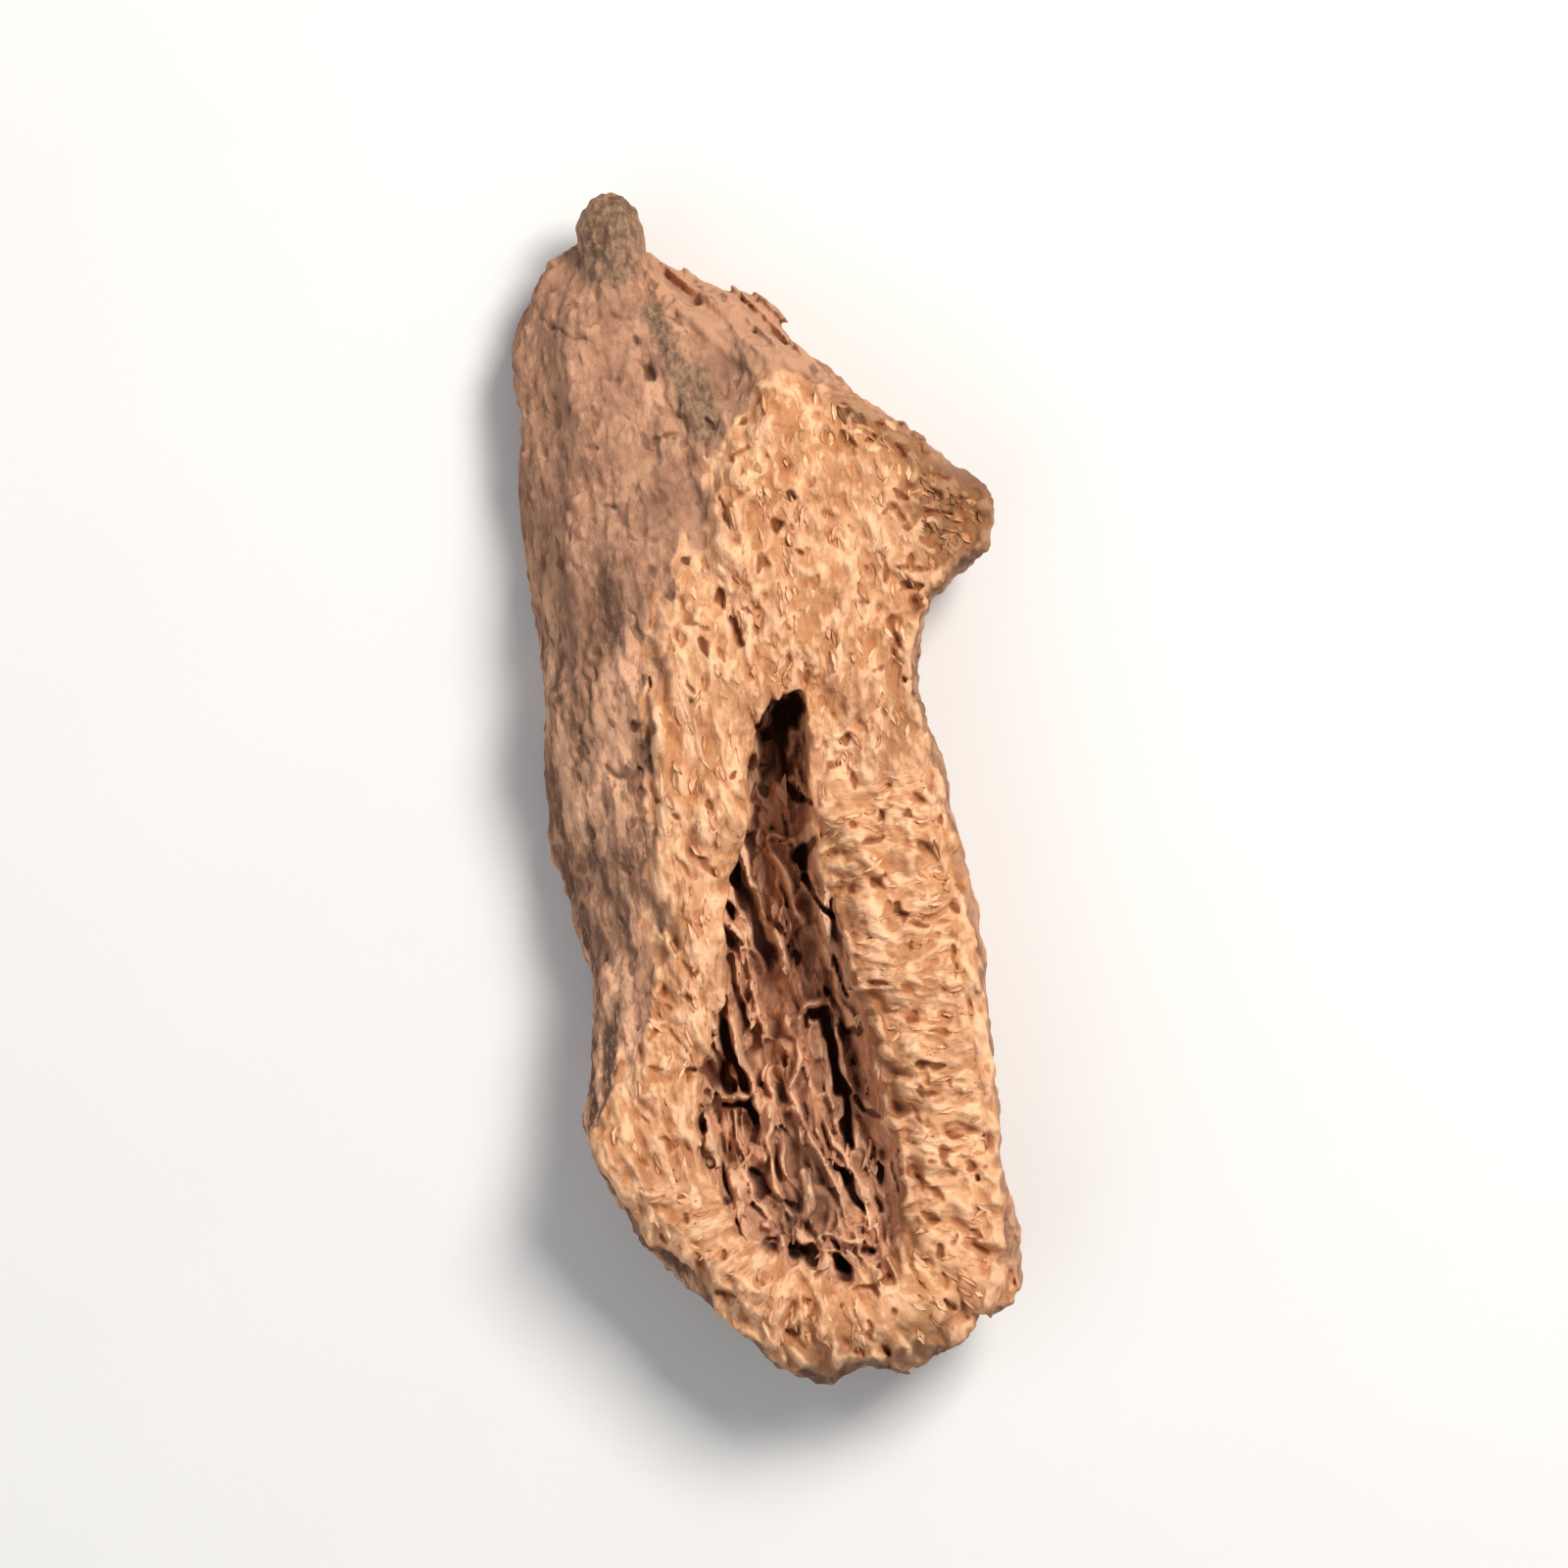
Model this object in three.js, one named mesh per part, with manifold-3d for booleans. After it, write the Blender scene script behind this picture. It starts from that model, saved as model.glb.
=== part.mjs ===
// A dried slice of costus root, in millimetres. The root was cut slantwise twice, so the slice is long and
// narrow, with a pale cut face on top, bark along its left side and top end, and a long hollow down its
// middle where shreds of the dark heart tissue are left. +Y runs along the root towards a small bud, +X goes
// across it, and +Z points up from the lower cut face, on which the slice rests at z = 0.

import * as THREE from 'three';
import { ImprovedNoise } from 'three/addons/math/ImprovedNoise.js';
import { mergeVertices } from 'three/addons/utils/BufferGeometryUtils.js';
import Module from 'manifold-3d';

const wasm = await Module();
wasm.setup();

// Cut face: its height over the middle of the slice, its slopes, and how it swells between rim and hollow
const FACE_HEIGHT = 8.9;
const FACE_RISE_ALONG = 0.02;
const FACE_RISE_ACROSS = -0.04;
const FACE_SWELL = 0.45;
const FACE_EDGE_ROUNDING = 0.7;
const FACE_EDGE_SHARPNESS = 8;
const FACE_RING_CROWDING = 1.15;

// Frayed lobe that the upper right of the face bends down into
const LOBE = { centre: { x: 11.2, y: 11.2 }, width: 3.2, length: 3.2, depth: 1.5 };

// Bark: height of its widest line where it slopes out far and where it hardly does, and the reach of each
const GIRTH_LOW = 2.4;
const GIRTH_HIGH = 5.8;
const NARROW_REACH = 0.5;
const WIDE_REACH = 4.5;

// Lower cut face: how far it lies inside the bark's widest line, at the sides and at the lower tip
const FOOT_INSET = 1.3;
const FOOT_INSET_PER_FLARE = 0.7;
const FLARE_START = 7;
const TIP_UNDERCUT = 4.6;
const TIP_UNDERCUT_START = -15;
const TIP_UNDERCUT_END = -28;

// Hollow: depth of its floor at the shallow lower end and further up, and how far it runs under the top rim
const HOLLOW_SHALLOW = 1.3;
const HOLLOW_DEEP = 6.0;
const HOLLOW_SHALLOW_Y = -23.5;
const HOLLOW_DEEP_Y = -13.5;
const HOLLOW_DIVE = 3.6;
const HOLLOW_DIVE_START = -3;
const HOLLOW_DIVE_FULL = 4;
const HOLLOW_SLOPE = 0.3;
const HOLLOW_SLOPE_FULL = -22;
const HOLLOW_SLOPE_END = -14;
const HOLLOW_WALL_SHARES = [0, 0.15, 0.55];
const HOLLOW_FLOOR_SHARES = [0, 0.14, 0.28, 0.42, 0.56, 0.7, 0.84];
const HOLLOW_AXIS_LOW = new THREE.Vector2(-1.2, -20);
const HOLLOW_AXIS_HIGH = new THREE.Vector2(0.7, 6.4);

// Matching hollow in the lower cut face, as shares of the way in from the outline and of its full depth
const UNDERSIDE_DEPTH = 1.2;
const UNDERSIDE_PROFILE = [[0.86, 1], [0.7, 0.8], [0.54, 0]];
const UNDERSIDE_AXIS_LOW = new THREE.Vector2(-1.6, -13);
const UNDERSIDE_AXIS_HIGH = new THREE.Vector2(-2.2, 15);

// Middle line of the whole slice, towards which the flanks draw in
const SLICE_AXIS_LOW = new THREE.Vector2(-0.6, -18);
const SLICE_AXIS_HIGH = new THREE.Vector2(-1.4, 15);

// Relief: height and spacing of the bark's wrinkles and knots, the face's lumps and the rim's teeth
const BARK_WRINKLE = { height: 0.9, width: 2.1, length: 11, depth: 2 };
const BARK_KNOT = { height: 0.63, size: 3, layer: 20 };
const FACE_LUMP = { height: 0.8, width: 1.9, length: 3.2, layer: 7 };
const RIM_TOOTH = { height: 0.5, pitch: 1.4, layer: 3, none: -8, full: 18 };

// Cells of the heart tissue in the hollow's floor
const HEART_CELL = { height: 0.8, width: 1.1, length: 1.9, layer: 9 };

// Patch at the top end where the bark has come away
const PATCH = { centre: { x: -0.9, y: 18.4 }, width: 1.9, length: 4.2, depth: 0.6 };

// Fineness of the mesh
const STEPS_BETWEEN_STATIONS = 5;
const FLANK_RINGS = 3;
const BARK_RINGS = 7;
const FACE_RINGS = 7;

// Matched points round the slice, counter-clockwise from its lower tip: the rim of the cut face, the widest
// line of the bark below it, and the mouth of the hollow
const STATIONS = [
  { rim: [0.4, -27.9], girth: [0.3, -28.2], mouth: [-0.2, -24.5] },
  { rim: [4.0, -27.7], girth: [4.3, -28.1], mouth: [1.5, -24.2] },
  { rim: [7.2, -25.7], girth: [7.6, -26.0], mouth: [2.9, -22.8] },
  { rim: [7.9, -21.6], girth: [8.3, -21.7], mouth: [3.5, -20.3] },
  { rim: [8.2, -16.0], girth: [8.6, -16.0], mouth: [3.4, -16.2] },
  { rim: [7.9, -10.6], girth: [8.3, -10.6], mouth: [2.7, -11.2] },
  { rim: [7.5, -4.8], girth: [7.9, -4.8], mouth: [1.7, -6.6] },
  { rim: [6.8, 0.9], girth: [7.2, 0.9], mouth: [1.2, -2.8] },
  { rim: [6.2, 5.0], girth: [6.6, 5.0], mouth: [1.1, -0.3] },
  { rim: [8.1, 8.6], girth: [8.5, 8.5], mouth: [1.15, 1.3] },
  { rim: [10.5, 10.2], girth: [10.8, 10.0], mouth: [1.15, 2.3] },
  { rim: [10.8, 12.0], girth: [11.1, 12.2], mouth: [1.15, 3.1] },
  { rim: [8.4, 14.2], girth: [8.7, 14.6], mouth: [1.05, 3.6] },
  { rim: [5.7, 16.6], girth: [6.0, 17.0], mouth: [0.8, 3.8] },
  { rim: [2.9, 18.5], girth: [3.4, 19.4], mouth: [0.45, 3.7] },
  { rim: [0.8, 18.4], girth: [1.2, 22.4], mouth: [0.1, 3.5] },
  { rim: [-1.0, 16.8], girth: [-2.4, 24.6], mouth: [-0.3, 3.3] },
  { rim: [-2.0, 14.0], girth: [-7.4, 26.0], mouth: [-0.7, 3.0] },
  { rim: [-3.1, 11.2], girth: [-10.4, 23.8], mouth: [-1.0, 2.6] },
  { rim: [-5.1, 8.6], girth: [-10.9, 17.2], mouth: [-1.3, 2.0] },
  { rim: [-6.1, 3.8], girth: [-11.2, 10.6], mouth: [-1.7, 0.5] },
  { rim: [-6.6, -1.2], girth: [-11.4, 3.8], mouth: [-2.0, -1.8] },
  { rim: [-7.0, -5.6], girth: [-11.1, -2.6], mouth: [-3.1, -4.8] },
  { rim: [-7.8, -9.8], girth: [-10.6, -7.8], mouth: [-3.9, -8.6] },
  { rim: [-9.2, -13.2], girth: [-10.6, -12.2], mouth: [-4.9, -12.4] },
  { rim: [-10.8, -16.1], girth: [-11.2, -15.9], mouth: [-6.0, -16.4] },
  { rim: [-9.5, -19.5], girth: [-9.9, -19.7], mouth: [-5.4, -19.8] },
  { rim: [-6.3, -23.6], girth: [-6.7, -23.9], mouth: [-4.2, -21.8] },
  { rim: [-2.9, -27.4], girth: [-3.1, -27.8], mouth: [-2.2, -23.8] },
];

// Bud at the top end, a rounded stub lying along the root
const BUD = { centre: [-5.7, 25.0, 5.0], radius: 1.65, length: 7.0, lean: 3, dip: -14, rings: 4, sides: 12 };

// Furrow across the bark at the top end, as points seen from above
const FURROW = [[-5.2, 22.6], [-4.6, 19.8], [-3.6, 17.6], [-3.0, 15.0], [-3.5, 11.0]];
const FURROW_SIZE = { radius: 0.5, sides: 6, steps: 9 };

// Slanting splits in the floor of the hollow and strands of heart tissue along it, seen from above, with how
// far each stands over the floor or goes into it and its half width
const SPLITS = [
  [[-2.9, -18.5], [-3.0, -13.2], [-2.4, -8.2]],
  [[1.7, -18.9], [1.3, -13.0], [0.3, -8.6]],
  [[-1.4, -9.9], [-1.9, -6.2], [-1.1, -1.8]],
];
const SPLIT_SIZE = { rise: -0.9, radius: 0.75 };
const STRANDS = [
  [[-3.9, -22.0], [-4.4, -16.0], [-3.6, -10.6], [-2.5, -3.4]],
  [[-1.2, -23.0], [-1.9, -17.0], [-0.9, -11.6], [-0.8, -5.8], [0.1, 4.0]],
  [[0.9, -23.0], [0.0, -16.6], [0.6, -11.4], [0.3, -4.0]],
  [[2.4, -22.0], [2.7, -15.6], [1.6, -9.6], [1.1, -4.2], [0.9, 3.6]],
];
const STRAND_SIZE = { rise: 1.1, radius: 0.8 };
const ROUTE_SAMPLES = 40;

// Vertices closer than this are one, and this is well above everything
const MERGE_DISTANCE = 1e-4;
const WELL_ABOVE = 50;

const noise = new ImprovedNoise();
const { clamp, degToRad, lerp, smoothstep } = THREE.MathUtils;

// Outlines and the points they draw in to

function outline(name) {
  const points = STATIONS.map((station) => new THREE.Vector3(...station[name], 0));
  const curve = new THREE.CatmullRomCurve3(points, true, 'centripetal');
  const count = STATIONS.length * STEPS_BETWEEN_STATIONS;
  return Array.from({ length: count }, (_, i) => curve.getPoint(i / count));
}

function nearestOnAxis(point, low, high) {
  const along = clamp((point.y - low.y) / (high.y - low.y), 0, 1);
  return new THREE.Vector3(lerp(low.x, high.x, along), lerp(low.y, high.y, along), 0);
}

function between(first, second, share) {
  return first.map((point, i) => point.clone().lerp(second[i], share));
}

function dent(x, y, { centre, width, length, depth }) {
  return depth * Math.exp(-(((x - centre.x) / width) ** 2) - (((y - centre.y) / length) ** 2));
}

function quarterTurns(steps) {
  return Array.from({ length: steps }, (_, step) => (step / steps) * (Math.PI / 2));
}

function flatNoise(x, y, { height = 1, width, length, layer }) {
  return height * noise.noise(x / width, y / length, layer);
}

// Heights of the cut face and of the hollow's floor

function faceHeight(x, y) {
  return FACE_HEIGHT + FACE_RISE_ALONG * y + FACE_RISE_ACROSS * x - dent(x, y, LOBE);
}

function hollowDepth(y) {
  return lerp(HOLLOW_SHALLOW, HOLLOW_DEEP, smoothstep(y, HOLLOW_SHALLOW_Y, HOLLOW_DEEP_Y));
}

// How high a strand or a split stands at a point: full on its route, and nothing at its sides and its ends
function raisedAlong(route, x, y, { rise, radius }) {
  return Math.max(...route.map((sample, i) => {
    const nearness = Math.max(0, 1 - (Math.hypot(sample.x - x, sample.y - y) / radius) ** 2);
    return nearness * Math.sin((Math.PI * i) / ROUTE_SAMPLES) ** 0.5;
  })) * rise;
}

const curveOf = (route) => new THREE.CatmullRomCurve3(route.map(([x, y]) => new THREE.Vector3(x, y, 0)));
const splits = SPLITS.map((route) => curveOf(route).getSpacedPoints(ROUTE_SAMPLES));
const strands = STRANDS.map((route) => curveOf(route).getSpacedPoints(ROUTE_SAMPLES));

function floorHeight(x, y) {
  const ridges = strands.reduce((sum, route) => sum + raisedAlong(route, x, y, STRAND_SIZE), 0);
  const grooves = splits.reduce((sum, route) => sum + raisedAlong(route, x, y, SPLIT_SIZE), 0);
  const cells = flatNoise(x, y, HEART_CELL);
  return faceHeight(x, y) - hollowDepth(y) + ridges + grooves + cells;
}

// Rings of the slice, from the underside's hollow outwards, up the bark, over the face and down the hollow

const rim = outline('rim');
const girth = outline('girth');
const mouth = outline('mouth');

const foot = girth.map((point) => {
  const towards = nearestOnAxis(point, SLICE_AXIS_LOW, SLICE_AXIS_HIGH).sub(point).normalize();
  const inset = FOOT_INSET + FOOT_INSET_PER_FLARE * Math.max(0, point.x - FLARE_START);
  const moved = point.clone().addScaledVector(towards, inset);
  moved.y += TIP_UNDERCUT * (1 - smoothstep(point.y, TIP_UNDERCUT_END, TIP_UNDERCUT_START));
  return moved;
});

function undersideRings() {
  const axis = foot.map((point) => nearestOnAxis(point, UNDERSIDE_AXIS_LOW, UNDERSIDE_AXIS_HIGH));
  return UNDERSIDE_PROFILE.map(([share, depth]) => {
    const ring = between(foot, axis, share);
    ring.forEach((point) => { point.z = UNDERSIDE_DEPTH * depth; });
    return ring;
  });
}

function girthHeight(i) {
  const reach = clamp(girth[i].distanceTo(rim[i]), NARROW_REACH, WIDE_REACH);
  return lerp(GIRTH_HIGH, GIRTH_LOW, smoothstep(reach, NARROW_REACH, WIDE_REACH));
}

function flankRings() {
  return quarterTurns(FLANK_RINGS).map((turn) => {
    const ring = between(foot, girth, Math.sin(turn));
    ring.forEach((point, i) => { point.z = girthHeight(i) * (1 - Math.cos(turn)); });
    return ring;
  });
}

function barkRings() {
  return quarterTurns(BARK_RINGS).map((turn) => {
    const ring = between(girth, rim, 1 - Math.cos(turn));
    ring.forEach((point, i) => {
      const top = faceHeight(rim[i].x, rim[i].y) - FACE_EDGE_ROUNDING;
      point.z = lerp(girthHeight(i), top, Math.sin(turn));
    });
    return ring;
  });
}

function faceRings() {
  return Array.from({ length: FACE_RINGS }, (_, step) => {
    const share = step / FACE_RINGS;
    const ring = between(rim, mouth, share ** FACE_RING_CROWDING);
    ring.forEach((point) => {
      const swell = FACE_SWELL * Math.sin(Math.PI * share);
      const rounding = FACE_EDGE_ROUNDING * (1 - share) ** FACE_EDGE_SHARPNESS;
      point.z = faceHeight(point.x, point.y) + swell - rounding;
    });
    return ring;
  });
}

const floor = mouth.map((point) => {
  const moved = point.clone();
  const pull = HOLLOW_SLOPE * (1 - smoothstep(point.y, HOLLOW_SLOPE_FULL, HOLLOW_SLOPE_END));
  moved.lerp(nearestOnAxis(point, HOLLOW_AXIS_LOW, HOLLOW_AXIS_HIGH), pull);
  moved.y += HOLLOW_DIVE * smoothstep(point.y, HOLLOW_DIVE_START, HOLLOW_DIVE_FULL);
  return moved;
});

function hollowRings() {
  const walls = HOLLOW_WALL_SHARES.map((share) => {
    const ring = between(mouth, floor, share);
    ring.forEach((point, i) => {
      const top = faceHeight(mouth[i].x, mouth[i].y) - FACE_EDGE_ROUNDING / 2;
      point.z = lerp(top, floorHeight(floor[i].x, floor[i].y), share);
    });
    return ring;
  });
  const axis = floor.map((point) => nearestOnAxis(point, HOLLOW_AXIS_LOW, HOLLOW_AXIS_HIGH));
  const floors = HOLLOW_FLOOR_SHARES.map((share) => {
    const ring = between(floor, axis, share);
    ring.forEach((point) => { point.z = floorHeight(point.x, point.y); });
    return ring;
  });
  return [...walls, ...floors];
}

// Relief, as the distance that the surface stands out at a point

function barkRelief({ x, y, z }) {
  const { height, width, length, depth } = BARK_WRINKLE;
  const wrinkles = height * noise.noise(x / width, y / length, z / depth);
  const { size, layer } = BARK_KNOT;
  const knots = BARK_KNOT.height * noise.noise(x / size, y / size, z / size + layer);
  return wrinkles + knots - dent(x, y, PATCH);
}

function faceRelief({ x, y }, station, share) {
  const lowerRight = smoothstep(x - y, RIM_TOOTH.none, RIM_TOOTH.full);
  const everyOther = station % 2 ? 0.5 : -0.5;
  const tooth = everyOther + noise.noise(station / RIM_TOOTH.pitch, share, RIM_TOOTH.layer);
  return flatNoise(x, y, FACE_LUMP) + RIM_TOOTH.height * lowerRight * tooth * (1 - share);
}

function raised(rings, reliefOf) {
  return rings.map((ring, r) => ring.map((point, s) => {
    const amount = reliefOf(r, s, point);
    if (amount === 0) return point;
    const along = ring[(s + 1) % ring.length].clone().sub(ring[(s + ring.length - 1) % ring.length]);
    const up = rings[r + 1][s].clone().sub(rings[r - 1][s]);
    return point.clone().addScaledVector(along.cross(up).normalize(), amount);
  }));
}

// Closes a narrow ring by a strip of triangles between its two sides, from its lowest point to its highest
function zipped(ring) {
  const after = (i) => (i + 1) % ring.length;
  const before = (i) => (i + ring.length - 1) % ring.length;
  let left = ring.reduce((lowest, point, i) => (point.y < ring[lowest].y ? i : lowest), 0);
  let right = after(left);
  const faces = [];
  while (faces.length < ring.length - 2) {
    const climbsRight = ring[after(right)].y <= ring[before(left)].y;
    faces.push([left, right, climbsRight ? after(right) : before(left)]);
    if (climbsRight) right = after(right);
    else left = before(left);
  }
  return faces;
}

function closedLoft(rings) {
  const around = rings[0].length;
  const positions = rings.flat().flatMap((point) => point.toArray());
  const index = [];
  for (let r = 0; r < rings.length - 1; r += 1) {
    for (let s = 0; s < around; s += 1) {
      const next = (s + 1) % around;
      const [a, b] = [r * around + s, r * around + next];
      const [c, d] = [a + around, b + around];
      index.push(a, b, d, a, d, c);
    }
  }
  zipped(rings[0]).forEach(([a, b, c]) => index.push(a, c, b));
  const lastStart = (rings.length - 1) * around;
  zipped(rings.at(-1)).forEach((corners) => index.push(...corners.map((corner) => corner + lastStart)));
  const geometry = new THREE.BufferGeometry();
  geometry.setAttribute('position', new THREE.Float32BufferAttribute(positions, 3));
  geometry.setIndex(index);
  return geometry;
}

function sliceGeometry() {
  const underside = undersideRings();
  const flank = flankRings();
  const bark = barkRings();
  const face = faceRings();
  const hollow = hollowRings();
  const barkStart = underside.length + 1;
  const faceStart = underside.length + flank.length + bark.length;
  const faceEnd = faceStart + face.length;
  const rings = [...underside, ...flank, ...bark, ...face, ...hollow];
  return closedLoft(raised(rings, (r, s, point) => {
    if (r < barkStart || r > faceEnd) return 0;
    if (r < faceStart) return barkRelief(point);
    return faceRelief(point, s, (r - faceStart) / face.length);
  }));
}

// Joining and cutting

function solid(geometry) {
  const bare = geometry.clone();
  bare.deleteAttribute('normal');
  bare.deleteAttribute('uv');
  const merged = mergeVertices(bare, MERGE_DISTANCE);
  return new wasm.Manifold(new wasm.Mesh({
    numProp: 3,
    vertProperties: new Float32Array(merged.attributes.position.array),
    triVerts: new Uint32Array(merged.index.array),
  }));
}

function geometryOf(manifold) {
  const mesh = manifold.getMesh();
  const geometry = new THREE.BufferGeometry();
  geometry.setAttribute('position', new THREE.BufferAttribute(mesh.vertProperties, 3));
  geometry.setIndex(new THREE.BufferAttribute(mesh.triVerts, 1));
  geometry.computeVertexNormals();
  return geometry;
}

// A spindle with pointed ends along a route that runs more or less level
function spindle(points, { radius, sides, steps }) {
  const curve = new THREE.CatmullRomCurve3(points);
  const geometry = new THREE.SphereGeometry(1, sides, steps);
  const { position } = geometry.attributes;
  for (let i = 0; i < position.count; i += 1) {
    const share = Math.acos(clamp(-position.getY(i), -1, 1)) / Math.PI;
    const along = curve.getTangentAt(share);
    const centre = curve.getPointAt(share);
    const across = new THREE.Vector3(along.y, -along.x, 0).normalize();
    centre.addScaledVector(across, position.getX(i) * radius);
    position.setXYZ(i, centre.x, centre.y, centre.z + position.getZ(i) * radius);
  }
  return geometry;
}

function budGeometry() {
  const bud = new THREE.CapsuleGeometry(BUD.radius, BUD.length - 2 * BUD.radius, BUD.rings, BUD.sides);
  bud.rotateX(degToRad(BUD.dip));
  bud.rotateZ(degToRad(BUD.lean));
  return bud.translate(...BUD.centre);
}

function surfaceAbove(geometry) {
  const target = new THREE.Mesh(geometry, new THREE.MeshBasicMaterial({ side: THREE.DoubleSide }));
  const down = new THREE.Vector3(0, 0, -1);
  return (x, y) => {
    const ray = new THREE.Raycaster(new THREE.Vector3(x, y, WELL_ABOVE), down);
    return ray.intersectObject(target)[0].point.z;
  };
}

function rootSlice() {
  const body = sliceGeometry();
  const heightAt = surfaceAbove(body);
  const furrow = FURROW.map(([x, y]) => new THREE.Vector3(x, y, heightAt(x, y)));
  return geometryOf(solid(body).add(solid(budGeometry())).subtract(solid(spindle(furrow, FURROW_SIZE))));
}

const rootMaterial = new THREE.MeshStandardMaterial({ color: 0xc08a5c, roughness: 0.92, metalness: 0 });

const root = new THREE.Mesh(rootSlice(), rootMaterial);
root.name = 'root_slice';
root.geometry.computeBoundingBox();
const middle = root.geometry.boundingBox.getCenter(new THREE.Vector3());
root.position.set(-middle.x, -middle.y, 0);

const slice = new THREE.Group();
slice.add(root);

export default slice;
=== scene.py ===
"""A dried slice of costus root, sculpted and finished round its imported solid."""

import math

import bpy
import numpy as np
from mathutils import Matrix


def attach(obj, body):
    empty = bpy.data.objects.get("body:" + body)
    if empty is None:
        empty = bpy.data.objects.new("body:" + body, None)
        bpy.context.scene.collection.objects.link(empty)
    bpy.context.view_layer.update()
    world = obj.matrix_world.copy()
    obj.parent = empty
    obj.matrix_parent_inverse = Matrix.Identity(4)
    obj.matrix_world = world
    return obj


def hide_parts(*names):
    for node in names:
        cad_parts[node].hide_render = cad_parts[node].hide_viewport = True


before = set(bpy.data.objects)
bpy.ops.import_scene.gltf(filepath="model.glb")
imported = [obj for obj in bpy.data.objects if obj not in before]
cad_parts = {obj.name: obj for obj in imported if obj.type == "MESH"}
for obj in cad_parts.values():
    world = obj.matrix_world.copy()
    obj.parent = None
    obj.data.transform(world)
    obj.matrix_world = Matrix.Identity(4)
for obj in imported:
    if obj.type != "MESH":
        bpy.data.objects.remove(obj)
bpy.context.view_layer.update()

import openvdb
from bpy.props import FloatProperty, FloatVectorProperty, IntProperty, PointerProperty
from mathutils import Matrix, Vector

bl_info = {
    "name": "Costus Root Slice",
    "version": (1, 0, 0),
    "blender": (4, 5, 0),
    "location": "3D View > Sidebar > Costus Root",
    "description": "Sculpts and finishes a dried slice of costus root round its solid",
    "category": "Add Mesh",
}

NODE = "root_slice"
BODY = "root"
MM = 0.001

# The outlines below are in millimetres, seen from above, before the solid was centred by this much
CENTRING = (0.25, 0.39)

RIM = (
    (0.4, -27.9), (4.0, -27.7), (7.2, -25.7), (7.9, -21.6), (8.2, -16.0), (7.9, -10.6), (7.5, -4.8),
    (6.8, 0.9), (6.2, 5.0), (8.1, 8.6), (10.5, 10.2), (10.8, 12.0), (8.4, 14.2), (5.7, 16.6), (2.9, 18.5),
    (0.8, 18.4), (-1.0, 16.8), (-2.0, 14.0), (-3.1, 11.2), (-5.1, 8.6), (-6.1, 3.8), (-6.6, -1.2),
    (-7.0, -5.6), (-7.8, -9.8), (-9.2, -13.2), (-10.8, -16.1), (-9.5, -19.5), (-6.3, -23.6), (-2.9, -27.4),
)
MOUTH = (
    (-0.2, -24.5), (1.5, -24.2), (2.9, -22.8), (3.5, -20.3), (3.4, -16.2), (2.7, -11.2), (1.7, -6.6),
    (1.2, -2.8), (1.1, -0.3), (1.15, 1.3), (1.15, 2.3), (1.15, 3.1), (1.05, 3.6), (0.8, 3.8), (0.45, 3.7),
    (0.1, 3.5), (-0.3, 3.3), (-0.7, 3.0), (-1.0, 2.6), (-1.3, 2.0), (-1.7, 0.5), (-2.0, -1.8), (-3.1, -4.8),
    (-3.9, -8.6), (-4.9, -12.4), (-6.0, -16.4), (-5.4, -19.8), (-4.2, -21.8), (-2.2, -23.8),
)

# Where the finish of the cut face ends; at its upper left it runs on over the edge of the solid
FACE_END = (
    (0.4, -28.2), (4.1, -28.1), (7.6, -26.0), (8.4, -21.7), (8.8, -16.0), (8.5, -10.5), (8.1, -4.7),
    (7.4, 0.9), (6.6, 5.0), (8.4, 8.2), (10.9, 9.9), (11.2, 12.2), (8.6, 14.5), (5.8, 16.8), (2.9, 18.6),
    (1.0, 18.8), (-1.3, 18.6), (-2.0, 17.0), (-2.3, 15.6), (-3.0, 14.2), (-3.4, 12.9), (-3.7, 11.7),
    (-4.0, 10.8), (-4.5, 10.0), (-5.1, 9.1), (-5.5, 8.0), (-5.9, 6.2), (-6.4, 4.0), (-6.9, 1.0),
    (-7.0, -2.4), (-7.1, -5.6), (-7.6, -9.4), (-8.6, -12.0), (-9.6, -13.6), (-11.0, -16.2), (-9.8, -19.8),
    (-6.6, -23.9), (-3.1, -27.7),
)
HEART_AXIS = ((-1.2, -20.0), (0.7, 6.4))

# Radius of the bend on which the lamellae turn round the lower end of the hollow
BEND_RADIUS = 4.6

# Upper cut face: its height over the middle, its slopes, and the frayed lobe that it bends down into
FACE_HEIGHT = 8.9
FACE_SLOPE = (-0.04, 0.02)
LOBE_CENTRE = (11.2, 11.2)
LOBE_SPREAD = 3.2
LOBE_DROP = 1.5

# Sculpting: room left round the solid, reach of its distances, cells that they are softened over, and reach
# over which creases are judged
MARGIN = 1.0
BAND = 2.2
SOFTENING = 2
CREASE_REACH = 0.35

# Ledge of the face's tissue in the right side of the hollow: how steeply it falls, and how that bends; the
# share of a height that stands for a distance on its slope; and a drop well below everything
LEDGE_FALL = 1.3
LEDGE_BEND = 1.3
LEDGE_SHARE = 0.7
WELL_BELOW = 20
LEDGE_SINK = 0.1

# Carving of the hollow's left side and tip: how far past its outline, how deep, and where it ends
CARVE_OUT = 0.12
CARVE_DEPTH = 2.0
TIP_DEPTH = 2.6
TIP_RIGHT = 0.4

# How much further down the cut wood runs over the edge at the slice's lower end, and how ragged the end of
# the bark is on the flanks and in its tint
LOW_END_DROP = 4.5
FLANK_RAGGED = 0.3
TINT_RAGGED = 1.25

# Straight steps between two points of an outline: of the slice's own edges, and of where its finish ends
EDGE_STEPS = 6
FINISH_STEPS = 5

# What is kept under the hollow whatever is torn out of it: up to this height, and at least this thick
PLATE = 1.3
LEAST_FLOOR = 0.8

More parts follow.
